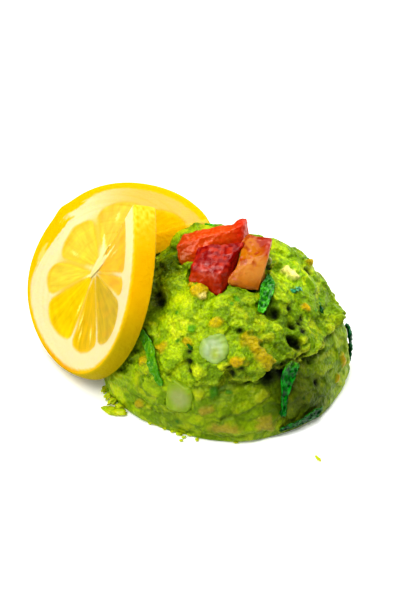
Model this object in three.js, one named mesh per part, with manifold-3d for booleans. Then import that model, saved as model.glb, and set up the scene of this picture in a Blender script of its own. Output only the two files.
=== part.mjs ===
// A moulded helping of guacamole with diced tomato on top and a bent lemon slice leaning on it.
// Millimetres, +Z up. The origin is the middle of the mound's flat base, +X is to the eater's
// right and -Y is the side that faces the eater.
import * as THREE from "three";
import { ImprovedNoise } from "three/addons/math/ImprovedNoise.js";
import { mergeVertices } from "three/addons/utils/BufferGeometryUtils.js";
import Module from "manifold-3d";

// The mound, a superellipse turned about the Z axis.
const MOUND_RADIUS = 35;
const MOUND_HEIGHT = 39.5;
const MOUND_FULLNESS = 2.15; // the superellipse's exponent: 2 is an ellipse, more is squarer
const MOUND_COLUMNS = 98;
const MOUND_ROWS = 33;

// The torn lip that runs round the front and right: mash above it hangs over a smoother side.
// Rises are shares of the quarter turn from the base to the top.
const LIP_RISE = 0.292;
const LIP_WAVES = [
  { count: 7, start: 40, height: 0.0132 },
  { count: 13, start: 10, height: 0.0079 },
];
const LIP_OVERHANG = { height: 0.9, above: 0.03, spread: 0.075 };
const LIP_UNDERCUT = { depth: 1.1, below: 0.02, spread: 0.14 };
const LIP_EDGE = 0.03; // half the rise over which the rough top turns into the smoother side
const LIP_MIDDLE = -60; // azimuth where it is deepest
const LIP_SPREAD = 40; // degrees to either side
const LIP_REST = 0.12; // share of its depth that is left all round

// The foot of the mound: its rim is rounded under, it sags outwards at the front, and one side of
// the sag is pressed in.
const FOOT_UNDERCUT = 0.7;
const FOOT_UNDERCUT_HEIGHT = 1.5;
const FOOT_BENDS = [
  { azimuth: -100, spread: 62, depth: 2.1 },
  { azimuth: -117, spread: 20, depth: -1.5 },
];
const FOOT_BEND_RISE = 0.3; // share of the way up where they end

// The mash's unevenness, as wavelength and height of each layer.
const MASH_LAYERS = [
  { wavelength: 15, height: 1.5 },
  { wavelength: 6.5, height: 1.2 },
];
const MASH_PATTERN = new THREE.Vector3(7.3, 2.1, 4.7); // where in the noise the pattern is taken
const SIDE_SMOOTHNESS = 0.45; // what is left of it below the lip

// Lumps of avocado that stand proud of the mash. Rise is the share of the way up the side.
const LUMPS = [
  { azimuth: -76, rise: 0.425, radius: 4.6, height: 1.0 },
  { azimuth: -71, rise: 0.37, radius: 3.6, height: 0.9 },
  { azimuth: -86, rise: 0.35, radius: 3.4, height: 0.9 },
  { azimuth: -97, rise: 0.53, radius: 2.6, height: 0.9 },
  { azimuth: -117, rise: 0.68, radius: 2.8, height: 1.3 },
  { azimuth: -13, rise: 0.66, radius: 3.4, height: 1.0 },
  { azimuth: 14, rise: 0.57, radius: 2.8, height: 1.1 },
  { azimuth: -121, rise: 0.39, radius: 3.0, height: 0.8 },
  { azimuth: -104, rise: 0.3, radius: 2.8, height: 0.8 },
  { azimuth: -103, rise: 0.2, radius: 2.6, height: 0.8 },
  { azimuth: -74, rise: 0.17, radius: 3.2, height: 0.8 },
  { azimuth: -88, rise: 0.07, radius: 4.6, height: 0.8 },
  { azimuth: -19, rise: 0.14, radius: 3.4, height: 1.0 },
  { azimuth: 95, rise: 0.36, radius: 4.4, height: 1.1 },
  { azimuth: 62, rise: 0.58, radius: 3.8, height: 1.0 },
  { azimuth: 48, rise: 0.2, radius: 4.0, height: 0.9 },
  { azimuth: 140, rise: 0.24, radius: 3.6, height: 1.0 },
];

// Pits and gaps in the mash.
const PITS = [
  { azimuth: -53, rise: 0.39, radius: 1.9, depth: 1.8 },
  { azimuth: -49, rise: 0.467, radius: 1.6, depth: 1.4 },
  { azimuth: 2, rise: 0.56, radius: 2.0, depth: 1.5 },
  { azimuth: -58, rise: 0.54, radius: 1.8, depth: 1.0 },
  { azimuth: -110, rise: 0.324, radius: 1.5, depth: 0.9 },
  { azimuth: -44, rise: 0.16, radius: 1.7, depth: 0.8 },
  { azimuth: 118, rise: 0.5, radius: 2.2, depth: 1.4 },
  { azimuth: 80, rise: 0.27, radius: 2.0, depth: 1.3 },
];

// A furrow left by the spoon, running down the front left.
const FURROW = { azimuth: -105.5, from: 0.43, to: 0.69, fade: 0.05, width: 1.9, depth: 0.9 };

// The lemon slice: a disc slit along one radius and bent about its radii, like a twisted cone.
const LEMON_RADIUS = 28.95;
const LEMON_THICKNESSES = [6.4, 6, 5.2, 5.3, 5.7, 6, 6, 6]; // evenly round the disc
const LEMON_HEADING = -34.2; // of the first radius, the slit's front edge
const LEMON_TILT = 60.9;
const LEMON_ROLL = -137.3;
const LEMON_BENDS = [0.29, -0.03, -0.21, -0.42, 0.38, 0.9, -0.1, -1.33]; // evenly round the disc
const LEMON_CORE = new THREE.Vector3(-36.57, 3.81, 29.2);
const LEMON_CORE_SHIFT = new THREE.Vector3(3.5, 4.14, 5.88); // how far the slit parts the core
const LEMON_SHIFT_FROM = 200;
const LEMON_SHIFT_TO = 330;
const LEMON_SWELL = { degrees: 277, spread: 20, height: 1.15 }; // the lemon wasn't quite round
const LEMON_MEMBRANES = [0, 40, 57.5, 102, 141, 173, 221, 262, 312, 360];
const LEMON_STEPS = 72;
const LEMON_SUBSTEPS = 5; // the bend is followed this much more finely
const LEMON_SPLIT = 40; // the step where the solid's two halves meet
const LEMON_RINGS = [0, 0.1, 0.25, 0.42, 0.6, 0.76, 0.84, 0.93, 1];
const LEMON_DISH = 0.45; // how far the juicy segments sink below the pith
const LEMON_PULP = [0.06, 0.25, 0.78, 0.85]; // shares of the radius where the sinking starts and ends
const LEMON_BULGE = 0.3; // of the zest band, which is part of the lemon's round side
const LEMON_FLARE = 0.8; // how much larger the back face's radius is than the front's
const LEMON_CORE_BLEND = 0.35; // inside this share of the radius the back follows one direction

// Diced tomato, by the corners of its foot and crown, each left front, right front, right back,
// left back.
const TOMATOES = [
  {
    name: "tomato_1",
    foot: [[-12.4, -7.8, 36.2], [3.6, -3.2, 38.8], [7.2, 3.4, 39.4], [-13.2, 1.0, 36.2]],
    crown: [[-14.0, -3.6, 41.6], [4.6, 0.4, 46.2], [6.8, 5.4, 44.8], [-12.0, 1.4, 43.2]],
  },
  {
    name: "tomato_2",
    foot: [[-10.4, -12.8, 35.0], [-1.4, -18.0, 33.2], [4.0, -8.6, 37.4], [-8.8, -8.0, 36.4]],
    crown: [[-9.8, -10.8, 39.8], [-1.6, -14.8, 39.6], [4.2, -6.2, 44.4], [-8.0, -5.0, 43.4]],
  },
  {
    name: "tomato_3",
    foot: [[0.2, -15.6, 35.4], [8.6, -16.4, 33.6], [12.6, -3.0, 36.0], [6.0, -3.0, 38.2]],
    crown: [[2.8, -11.8, 41.4], [11.2, -11.6, 44.2], [12.8, -4.2, 44.8], [5.8, -2.2, 45.2]],
  },
];
const TOMATO_CELLS = 5;
const TOMATO_ROUNDING = 0.24; // of half its width
const TOMATO_WAVE = { wavelength: 6, height: 0.35 };

// Onion dice pressed into the mash, flush with its surface.
const ONIONS = [
  { name: "onion_1", azimuth: -97.6, rise: 0.42, size: [8.2, 7.8, 3.4], turn: 12, proud: 0.5 },
  { name: "onion_2", azimuth: -112, rise: 0.175, size: [8.0, 8.6, 3.0], turn: -8, proud: 0.35 },
];
const ONION_CELLS = 4;
const ONION_ROUNDING = 0.5; // of half its width

// Cilantro: thin wavy ribbons that follow the mash. Each stop is azimuth, rise, lift and width.
const LEAF_THICKNESS = 0.5;
const LEAVES = [
  {
    name: "cilantro_1",
    stops: [
      [-46, 0.74, 0.8, 2.0],
      [-52, 0.69, 1.1, 3.4],
      [-60, 0.63, 0.8, 3.2],
      [-67, 0.57, 0.6, 1.6],
    ],
    curl: 0.9,
  },
  {
    name: "cilantro_2",
    stops: [
      [-57, 0.305, 1.6, 3.0],
      [-59.5, 0.27, 1.9, 4.4],
      [-62, 0.21, 1.2, 3.0],
      [-64, 0.15, 0.9, 2.2],
      [-65.5, 0.085, 0.6, 1.2],
    ],
    curl: 0.8,
  },
  {
    name: "cilantro_3",
    stops: [
      [-140, 0.39, 0.5, 1.8],
      [-132, 0.34, 0.6, 3.0],
      [-127, 0.28, 0.6, 2.8],
      [-121, 0.2, 0.4, 1.2],
    ],
    curl: 0.3,
  },
  {
    name: "cilantro_4",
    stops: [
      [-3, 0.25, 1.3, 2.2],
      [-4, 0.19, 2.2, 4.0],
      [-5, 0.13, 2.1, 3.4],
      [-8, 0.07, 1.2, 1.6],
    ],
    curl: 0.6,
  },
  {
    name: "cilantro_5",
    stops: [
      [-67, 0.03, 0.5, 1.0],
      [-58, 0.036, 0.9, 1.8],
      [-50, 0.045, 1.2, 2.6],
      [-45, 0.05, 1.0, 1.2],
    ],
    curl: 0.2,
  },
];
const LEAF_STEPS = 10;
const LEAF_STRIPS = 4;
const LEAF_CUP = 0.5; // share of its curl that lifts both its edges
const LEAF_FLUTTER = { share: 0.35, turns: 9, start: 1 }; // and the share that lifts one, then the other

const SEAT_GAP = 0.36; // between a piece and the mash it sits in

const noise = new ImprovedNoise();
const radians = THREE.MathUtils.degToRad;
const smoothstep = THREE.MathUtils.smoothstep;

const wasm = await Module();
wasm.setup();

// A solid of points and triangles, for joining and cutting.
function solidFrom(points, triangles) {
  const geometry = new THREE.BufferGeometry().setFromPoints(points);
  geometry.setIndex(triangles);
  return solidOf(geometry);
}

const MERGE_DISTANCE = 1e-3;

// A solid of the geometry, whatever of its points lie together made one.
function solidOf(geometry) {
  const bare = geometry.clone();
  bare.deleteAttribute("normal");
  bare.deleteAttribute("uv");
  const merged = mergeVertices(bare, MERGE_DISTANCE);
  const corners = [];
  for (let i = 0; i < merged.index.count; i += 3) {
    const [a, b, c] = [0, 1, 2].map((k) => merged.index.getX(i + k));
    if (a !== b && b !== c && c !== a) {
      corners.push(a, b, c);
    }
  }
  const vertProperties = merged.attributes.position.array;
  return new wasm.Manifold(
    new wasm.Mesh({ numProp: 3, vertProperties, triVerts: new Uint32Array(corners) }),
  );
}

function geometryOf(solid) {
  const mesh = solid.getMesh();
  const geometry = new THREE.BufferGeometry();
  geometry.setAttribute("position", new THREE.BufferAttribute(mesh.vertProperties, 3));
  geometry.setIndex(new THREE.BufferAttribute(mesh.triVerts, 1));
  geometry.computeVertexNormals();
  return geometry;
}

// The same solid with its surface moved outwards by the gap.
function swollen(solid, gap) {
  const geometry = geometryOf(solid);
  const position = geometry.attributes.position;
  const normal = geometry.attributes.normal;
  for (let i = 0; i < position.count; i += 1) {
    position.setXYZ(
      i,
      position.getX(i) + normal.getX(i) * gap,
      position.getY(i) + normal.getY(i) * gap,
      position.getZ(i) + normal.getZ(i) * gap,
    );
  }
  return solidOf(geometry);
}

function signedAngle(from, to) {
  return THREE.MathUtils.euclideanModulo(to - from + 180, 360) - 180;
}

function noiseAt(point, wavelength) {
  const q = point.clone().divideScalar(wavelength);
  return noise.noise(q.x, q.y, q.z);
}

function bell(distance, width) {
  return Math.exp(-((distance / width) ** 2));
}

// ---- The mound ----

function moundBase(azimuth, rise) {
  const angle = (rise * Math.PI) / 2;
  const power = 2 / MOUND_FULLNESS;
  const reach = MOUND_RADIUS * Math.cos(angle) ** power;
  const height = MOUND_HEIGHT * Math.sin(angle) ** power;
  const heading = radians(azimuth);
  return new THREE.Vector3(reach * Math.cos(heading), reach * Math.sin(heading), height);
}

function moundNormal(azimuth, rise) {
  const point = moundBase(azimuth, rise);
  const reach = Math.hypot(point.x, point.y);
  const outward = (reach / MOUND_RADIUS) ** (MOUND_FULLNESS - 1) / MOUND_RADIUS;
  const upward = (point.z / MOUND_HEIGHT) ** (MOUND_FULLNESS - 1) / MOUND_HEIGHT;
  const heading = radians(azimuth);
  return new THREE.Vector3(
    outward * Math.cos(heading),
    outward * Math.sin(heading),
    upward,
  ).normalize();
}

// How far the spot is from another on the mound, in millimetres along the surface.
function spotDistance(point, spot) {
  return point.distanceTo(moundBase(spot.azimuth, spot.rise));
}

function lipRise(azimuth) {
  let rise = LIP_RISE;
  for (const { count, start, height } of LIP_WAVES) {
    rise += height * Math.sin(radians(azimuth * count + start));
  }
  return rise;
}

function lipStrength(azimuth) {
  return LIP_REST + (1 - LIP_REST) * bell(signedAngle(LIP_MIDDLE, azimuth), LIP_SPREAD);
}

// How far the lip stands out at this place, or is undercut if negative.
function lipRelief(azimuth, rise) {
  const over = rise - lipRise(azimuth);
  const above = smoothstep(over, -LIP_EDGE, LIP_EDGE);
  const { height, above: middle, spread } = LIP_OVERHANG;
  const overhang = height * above * bell(over - middle, spread);
  const undercut = LIP_UNDERCUT.depth * bell(over + LIP_UNDERCUT.below, LIP_UNDERCUT.spread);
  return lipStrength(azimuth) * (overhang - undercut * (1 - above));
}

function furrowDepth(azimuth, rise, point) {
  const { from, to, fade, width, depth } = FURROW;
  if (rise < from - fade) {
    return 0;
  }
  const aside = Math.hypot(point.x, point.y) * radians(signedAngle(FURROW.azimuth, azimuth));
  const along = smoothstep(rise, from - fade, from + fade) - smoothstep(rise, to - fade, to + fade);
  return depth * along * bell(aside, width);
}

// How far the mash stands out from the moulded shape.
function moundRelief(azimuth, rise) {
  const point = moundBase(azimuth, rise);
  const above = smoothstep(rise - lipRise(azimuth), -LIP_EDGE, LIP_EDGE);
  const roughness = THREE.MathUtils.lerp(SIDE_SMOOTHNESS, 1, above);
  let relief = lipRelief(azimuth, rise) - furrowDepth(azimuth, rise, point);
  for (const { wavelength, height } of MASH_LAYERS) {
    const pattern = point.clone().addScaledVector(MASH_PATTERN, wavelength);
    relief += height * roughness * noiseAt(pattern, wavelength);
  }
  for (const lump of LUMPS) {
    relief += lump.height * bell(spotDistance(point, lump), lump.radius);
  }
  for (const pit of PITS) {
    relief -= pit.depth * bell(spotDistance(point, pit), pit.radius);
  }
  relief -= FOOT_UNDERCUT * (1 - smoothstep(point.z, 0, FOOT_UNDERCUT_HEIGHT));
  for (const bend of FOOT_BENDS) {
    const aside = bell(signedAngle(bend.azimuth, azimuth), bend.spread);
    relief += bend.depth * aside * (1 - smoothstep(rise, 0, FOOT_BEND_RISE));
  }
  return relief;
}

function moundSurface(azimuth, rise) {
  const relief = moundRelief(azimuth, rise);
  return moundBase(azimuth, rise).addScaledVector(moundNormal(azimuth, rise), relief);
}

function moundSolid() {
  const points = [];
  const triangles = [];
  for (let row = 0; row < MOUND_ROWS; row += 1) {
    for (let column = 0; column < MOUND_COLUMNS; column += 1) {
      const stagger = (row % 2) / 2;
      const azimuth = ((column + stagger) * 360) / MOUND_COLUMNS;
      points.push(moundSurface(azimuth, row / MOUND_ROWS));
      if (row === 0) {
        points[points.length - 1].z = 0;
      }
    }
  }
  const top = points.push(moundSurface(0, 1)) - 1;
  const middle = points.push(new THREE.Vector3(0, 0, 0)) - 1;
  for (let column = 0; column < MOUND_COLUMNS; column += 1) {
    const next = (column + 1) % MOUND_COLUMNS;
    for (let row = 0; row + 1 < MOUND_ROWS; row += 1) {
      const [low, lowNext] = [row * MOUND_COLUMNS + column, row * MOUND_COLUMNS + next];
      const [high, highNext] = [low + MOUND_COLUMNS, lowNext + MOUND_COLUMNS];
      if (row % 2 === 0) {
        triangles.push(low, lowNext, high, lowNext, highNext, high);
      } else {
        triangles.push(low, lowNext, highNext, low, highNext, high);
      }
    }
    const last = (MOUND_ROWS - 1) * MOUND_COLUMNS;
    triangles.push(last + column, last + next, top);
    triangles.push(middle, next, column);
  }
  return solidFrom(points, triangles);
}

// ---- The lemon slice ----

// The value at this angle of a list that is spread evenly round the disc.
function roundDisc(values, degrees) {
  const place = (degrees / 360) * (values.length - 1);
  const knot = Math.min(Math.floor(place), values.length - 2);
  return THREE.MathUtils.lerp(values[knot], values[knot + 1], place - knot);
}

// The slice's radii in order: each has its core point, its direction and the way to the back face.
function lemonRadii() {
  const [heading, tilt, roll] = [LEMON_HEADING, LEMON_TILT, LEMON_ROLL].map(radians);
  const along = new THREE.Vector3(
    Math.cos(tilt) * Math.cos(heading),
    Math.cos(tilt) * Math.sin(heading),
    Math.sin(tilt),
  );
  const level = new THREE.Vector3(0, 0, 1).cross(along).normalize();
  const across = level.clone().applyAxisAngle(along, roll);
  const behind = along.clone().cross(across);
  const step = 360 / LEMON_STEPS / LEMON_SUBSTEPS;
  const radii = [];
  for (let i = 0; i <= LEMON_STEPS; i += 1) {
    const degrees = (i * 360) / LEMON_STEPS;
    const shift = smoothstep(degrees, LEMON_SHIFT_FROM, LEMON_SHIFT_TO);
    const core = LEMON_CORE.clone().addScaledVector(LEMON_CORE_SHIFT, shift);
    radii.push({ degrees, core, shift, along: along.clone(), behind: behind.clone() });
    for (let k = 0; k < LEMON_SUBSTEPS; k += 1) {
      along.applyAxisAngle(behind, radians(step));
      across.applyAxisAngle(behind, radians(step));
      const halfway = Math.min(degrees + (k + 0.5) * step, 360);
      const bend = roundDisc(LEMON_BENDS, halfway) * radians(step);
      across.applyAxisAngle(along, bend);
      behind.applyAxisAngle(along, bend);
    }
  }
  const front = new THREE.Vector3();
  const back = new THREE.Vector3();
  for (const radius of radii) {
    (radius.shift === 0 ? front : back).add(radius.behind);
  }
  front.normalize();
  back.normalize();
  for (const radius of radii) {
    radius.coreBehind = front.clone().lerp(back, radius.shift).normalize();
  }
  return radii;
}

// How far the juicy segments sink at this place.
function lemonDish(degrees, ring) {
  const next = LEMON_MEMBRANES.findIndex((angle) => angle > degrees);
  if (next < 1) {
    return 0;
  }
  const last = LEMON_MEMBRANES[next - 1];
  const share = (degrees - last) / (LEMON_MEMBRANES[next] - last);
  const [start, full, wane, end] = LEMON_PULP;
  const inRing = smoothstep(ring, start, full) * (1 - smoothstep(ring, wane, end));
  return LEMON_DISH * inRing * Math.sqrt(Math.sin(Math.PI * share));
}

// The radius at this angle, on the face (side 0), the back (side 1) or between them.
function lemonReach(degrees, side) {
  const swell = LEMON_SWELL.height * bell(degrees - LEMON_SWELL.degrees, LEMON_SWELL.spread);
  return LEMON_RADIUS + swell + side * LEMON_FLARE;
}

function lemonPoint(radius, ring, side) {
  const way = radius.coreBehind
    .clone()
    .lerp(radius.behind, smoothstep(ring, 0, LEMON_CORE_BLEND))
    .normalize();
  const dish = lemonDish(radius.degrees, ring);
  const depth = side * roundDisc(LEMON_THICKNESSES, radius.degrees) + (side < 0.5 ? dish : -dish);
  return radius.core
    .clone()
    .addScaledVector(radius.along, ring * lemonReach(radius.degrees, side))
    .addScaledVector(way, depth);
}

function lemonZestPoint(radius, side) {
  const out = lemonReach(radius.degrees, side) + LEMON_BULGE * Math.sin(Math.PI * side);
  return radius.core
    .clone()
    .addScaledVector(radius.along, out)
    .addScaledVector(radius.behind, side * roundDisc(LEMON_THICKNESSES, radius.degrees));
}

// One section of the slice, from the face's core out to the zest and back in along the back.
function lemonSection(radius) {
  const face = LEMON_RINGS.map((ring) => lemonPoint(radius, ring, 0));
  const zest = [0.33, 0.67].map((side) => lemonZestPoint(radius, side));
  const back = LEMON_RINGS.map((ring) => lemonPoint(radius, ring, 1)).reverse();
  return [...face, ...zest, ...back];
}

function lemonPart(radii) {
  const sections = radii.map(lemonSection);
  const count = sections[0].length;
  const rings = LEMON_RINGS.length;
  const points = sections.flat();
  const triangles = [];
  for (let i = 0; i + 1 < sections.length; i += 1) {
    for (let j = 0; j < count; j += 1) {
      const [a, b] = [i * count + j, i * count + ((j + 1) % count)];
      const [c, d] = [a + count, b + count];
      triangles.push(a, d, b, a, c, d);
    }
  }
  const last = (sections.length - 1) * count;
  const cap = [];
  for (let j = 0; j + 1 < rings; j += 1) {
    const [far, near] = [count - 2 - j, count - 1 - j];
    cap.push(j, j + 1, far, j, far, near);
  }
  cap.push(rings - 1, rings, rings + 1, rings - 1, rings + 1, rings + 2);
  triangles.push(...cap, ...cap.map((corner) => last + corner).reverse());
  return solidFrom(points, triangles);
}

function lemonSolid() {
  const radii = lemonRadii();
  const first = lemonPart(radii.slice(0, LEMON_SPLIT + 1));
  const second = lemonPart(radii.slice(LEMON_SPLIT));
  return first.add(second);
}

// ---- Rounded dice ----

// A cube of cells with rounded edges, where shape places each point of -1 to 1.
function roundedCube(cells, rounding, shape) {
  const box = new THREE.BoxGeometry(2, 2, 2, cells, cells, cells);
  const position = box.attributes.position;
  for (let i = 0; i < position.count; i += 1) {
    const p = new THREE.Vector3().fromBufferAttribute(position, i);
    const inner = p.clone().clampScalar(rounding - 1, 1 - rounding);
    const placed = shape(p.sub(inner).setLength(rounding).add(inner));
    position.setXYZ(i, placed.x, placed.y, placed.z);
  }
  return solidOf(box);
}

function blendCorners(corners, p) {
  const [u, v] = [(p.x + 1) / 2, (p.y + 1) / 2];
  const [a, b, c, d] = corners.map((corner) => new THREE.Vector3(...corner));
  return a.lerp(b, u).lerp(d.lerp(c, u), v);
}

function tomatoSolid({ foot, crown }) {
  const place = (p) => blendCorners(foot, p).lerp(blendCorners(crown, p), (p.z + 1) / 2);
  const middle = place(new THREE.Vector3());
  const { wavelength, height } = TOMATO_WAVE;
  return roundedCube(TOMATO_CELLS, TOMATO_ROUNDING, (p) => {
    const placed = place(p);
    const wave = 1 + (height / wavelength) * noiseAt(placed, wavelength);
    return placed.sub(middle).multiplyScalar(wave).add(middle);
  });
}

function onionSolid({ azimuth, rise, size, turn, proud }) {
  const normal = moundNormal(azimuth, rise);
  const level = new THREE.Vector3(0, 0, 1).cross(normal).normalize();
  level.applyAxisAngle(normal, radians(turn));
  const upright = normal.clone().cross(level);
  const centre = moundSurface(azimuth, rise).addScaledVector(normal, proud - size[2] / 2);
  return roundedCube(ONION_CELLS, ONION_ROUNDING, (p) =>
    centre
      .clone()
      .addScaledVector(level, (p.x * size[0]) / 2)
      .addScaledVector(upright, (p.y * size[1]) / 2)
      .addScaledVector(normal, (p.z * size[2]) / 2),
  );
}

// ---- Cilantro ----

function leafSolid({ stops, curl }) {
  const path = new THREE.CatmullRomCurve3(
    stops.map(([azimuth, rise, lift]) =>
      moundSurface(azimuth, rise).addScaledVector(moundNormal(azimuth, rise), lift),
    ),
  );
  const spread = new THREE.CatmullRomCurve3(
    stops.map(([azimuth, rise, , width]) => new THREE.Vector3(width, azimuth, rise)),
  );
  const count = LEAF_STRIPS + 1;
  const { share, turns, start } = LEAF_FLUTTER;
  const points = [];
  for (let i = 0; i <= LEAF_STEPS; i += 1) {
    const t = i / LEAF_STEPS;
    const { x: width, y: azimuth, z: rise } = spread.getPoint(t);
    const outward = moundNormal(azimuth, rise);
    const across = path.getTangent(t).cross(outward).normalize();
    for (let j = 0; j < count; j += 1) {
      const side = (2 * j) / LEAF_STRIPS - 1;
      const flutter = share * side * Math.sin(turns * t + start);
      const wave = curl * (LEAF_CUP * side * side + flutter);
      const top = path
        .getPoint(t)
        .addScaledVector(across, (side * width) / 2)
        .addScaledVector(outward, wave);
      points.push(top, top.clone().addScaledVector(outward, -LEAF_THICKNESS));
    }
  }
  const triangles = [];
  const quad = (a, b, c, d) => triangles.push(a, b, c, a, c, d);
  const at = (i, j, under) => 2 * (i * count + j) + under;
  for (let i = 0; i < LEAF_STEPS; i += 1) {
    for (let j = 0; j < LEAF_STRIPS; j += 1) {
      quad(at(i, j, 0), at(i, j + 1, 0), at(i + 1, j + 1, 0), at(i + 1, j, 0));
      quad(at(i + 1, j + 1, 1), at(i, j + 1, 1), at(i, j, 1), at(i + 1, j, 1));
    }
    quad(at(i, 0, 0), at(i + 1, 0, 0), at(i + 1, 0, 1), at(i, 0, 1));
    const edge = LEAF_STRIPS;
    quad(at(i + 1, edge, 0), at(i, edge, 0), at(i, edge, 1), at(i + 1, edge, 1));
  }
  for (let j = 0; j < LEAF_STRIPS; j += 1) {
    quad(at(0, j + 1, 0), at(0, j, 0), at(0, j, 1), at(0, j + 1, 1));
    const [top, topNext] = [at(LEAF_STEPS, j, 0), at(LEAF_STEPS, j + 1, 0)];
    quad(top, topNext, topNext + 1, top + 1);
  }
  return solidFrom(points, triangles);
}

// ---- The helping ----

const avocado = new THREE.MeshStandardMaterial({ color: "#9db016", roughness: 0.45, metalness: 0 });
const lemon = new THREE.MeshStandardMaterial({ color: "#ffd21f", roughness: 0.4, metalness: 0 });
const tomato = new THREE.MeshStandardMaterial({ color: "#d8351c", roughness: 0.25, metalness: 0 });
const onion = new THREE.MeshStandardMaterial({ color: "#d5e3cf", roughness: 0.3, metalness: 0 });
const cilantro = new THREE.MeshStandardMaterial({ color: "#12862a", roughness: 0.35, metalness: 0 });

const pieces = [{ name: "lemon_slice", solid: lemonSolid(), material: lemon }];
for (const spec of TOMATOES) {
  pieces.push({ name: spec.name, solid: tomatoSolid(spec), material: tomato });
}
for (const spec of ONIONS) {
  pieces.push({ name: spec.name, solid: onionSolid(spec), material: onion });
}
for (const spec of LEAVES) {
  pieces.push({ name: spec.name, solid: leafSolid(spec), material: cilantro });
}

// Each piece is cut clear of the ones before it, and the mash is cut clear of them all.
let mound = moundSolid();
const helping = new THREE.Group();
pieces.forEach((piece, i) => {
  for (const earlier of pieces.slice(0, i)) {
    piece.solid = piece.solid.subtract(swollen(earlier.solid, SEAT_GAP));
  }
  mound = mound.subtract(swollen(piece.solid, SEAT_GAP));
});
pieces.unshift({ name: "guacamole", solid: mound, material: avocado });
for (const { name, solid, material } of pieces) {
  const mesh = new THREE.Mesh(geometryOf(solid), material);
  mesh.name = name;
  helping.add(mesh);
}

export default helping;
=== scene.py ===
"""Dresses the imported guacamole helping: wet mash with avocado lumps, a cut lemon slice, diced
tomato, onion, cilantro, and the crumbs around the mound's foot."""

import math
import random
from functools import lru_cache, partial

import bmesh
import bpy
from bpy.props import FloatProperty, IntProperty, PointerProperty
from bpy.types import Operator, Panel, PropertyGroup
from mathutils import Matrix, Vector, noise
from mathutils.bvhtree import BVHTree


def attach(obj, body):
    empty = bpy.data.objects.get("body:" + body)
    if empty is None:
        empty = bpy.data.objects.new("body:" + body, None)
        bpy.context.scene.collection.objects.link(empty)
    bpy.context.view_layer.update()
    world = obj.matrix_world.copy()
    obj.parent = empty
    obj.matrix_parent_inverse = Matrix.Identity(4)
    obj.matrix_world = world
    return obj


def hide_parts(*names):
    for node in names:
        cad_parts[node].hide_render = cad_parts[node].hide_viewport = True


bl_info = {
    "name": "Guacamole Helping",
    "version": (1, 0, 0),
    "blender": (4, 5, 0),
    "location": "View3D > Sidebar > Guacamole",
    "description": "Dresses a moulded helping of guacamole with lemon, tomato, onion and cilantro",
    "category": "Object",
}

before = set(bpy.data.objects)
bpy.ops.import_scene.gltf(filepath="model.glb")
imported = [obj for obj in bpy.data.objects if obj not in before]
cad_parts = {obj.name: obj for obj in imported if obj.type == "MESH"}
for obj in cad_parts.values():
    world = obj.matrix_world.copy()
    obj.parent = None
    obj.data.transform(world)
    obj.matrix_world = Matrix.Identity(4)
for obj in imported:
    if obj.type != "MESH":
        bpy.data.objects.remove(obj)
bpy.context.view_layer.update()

MM = 0.001
BODY = "root"

# Points of a shell closer together than this are one.
WELD_MM = 0.002

# The view: its size in pixels, the camera's sensor and lens, its tilt in degrees, its distance and
# the place it looks at.
VIEW_WIDTH = 400
VIEW_HEIGHT = 600
SENSOR_MM = 36
LENS_MM = 85
CAMERA_TILT = 31.5
CAMERA_DISTANCE_MM = 396.67
CAMERA_AIM_MM = Vector((-7.12, 0, 22.3))


# ---- Small helpers ----


@lru_cache(maxsize=None)
def linear(hex_colour):
    """The linear colour of an sRGB hex value."""
    value = int(hex_colour.lstrip("#"), 16)
    channels = [((value >> shift) & 255) / 255 for shift in (16, 8, 0)]
    return tuple(c / 12.92 if c <= 0.04045 else ((c + 0.055) / 1.055) ** 2.4 for c in channels)


def blend(first, second, share):
    """Mixes two colours, each of them linear or an sRGB hex value."""
    first, second = (linear(c) if isinstance(c, str) else c for c in (first, second))
    return tuple(x + (y - x) * share for x, y in zip(first, second))


def ramp(low, high, x):
    """0 below the low end, 1 above the high end and smooth between them."""
    t = min(1.0, max(0.0, (x - low) / (high - low)))
    return t * t * (3 - 2 * t)


def coated(colour, *coats):
    """A colour under thin coats of others: each coat is a colour and how far it covers."""
    for coat, share in coats:
        colour = blend(colour, coat, share)
    return colour


def bell(distance, width):
    """1 in the middle, and almost 0 from two widths on."""
    return math.exp(-((distance / width) ** 2))


def turn_between(start, end):
    """The signed angle in degrees from one azimuth to another."""
    return (end - start + 180) % 360 - 180


# Settles where Blender's noise vectors start, which otherwise changes with the clock.
PATTERN_SEED = 1
noise.seed_set(PATTERN_SEED)

# Smooth noise at a place, from about -1 to 1.
ripple = noise.noise


def random_of(cell, salt=0):
    """A steady number from 0 to 1 for a cell of a pattern. Uneven steps keep neighbours unlike."""
    return noise.cell(Vector((cell.x * 7.31 + salt, cell.y * 5.77 - salt, cell.z * 6.13 + 0.37)))


def add_node(tree, kind, inputs=None, **settings):
    """Adds a node. An input takes a value, an output, or a node that stands for its first output."""
    node = tree.nodes.new("ShaderNode" + kind)
    for key, value in settings.items():
        setattr(node, key, value)
    for key, value in (inputs or {}).items():
        if isinstance(value, bpy.types.Node):
            value = value.outputs[0]
        if isinstance(value, bpy.types.NodeSocket):
            tree.links.new(value, node.inputs[key])
        else:
            node.inputs[key].default_value = value
    return node


def new_material(name):
    """An empty material, and the call that adds a node to it."""
    material = bpy.data.materials.new(name)
    material.use_nodes = True
    material.node_tree.nodes.clear()
    return material, partial(add_node, material.node_tree)


def add_shader(add, colour, roughness, bump, look, more=None):
    """The shader of a surface that light goes into. Its look: refraction, how much light goes in,
    how far its red, green and blue go against each other, and how deep, in millimetres."""
    ior, share, reaches, depth_mm = look
    inputs = {
        "Base Color": colour,
        "Roughness": roughness,
        "IOR": ior,
        "Subsurface Weight": share,
        "Subsurface Radius": reaches,
        "Subsurface Scale": depth_mm * MM,
        "Normal": bump,
        **(more or {}),
    }
    add("OutputMaterial", {"Surface": add("BsdfPrincipled", inputs)})


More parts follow.
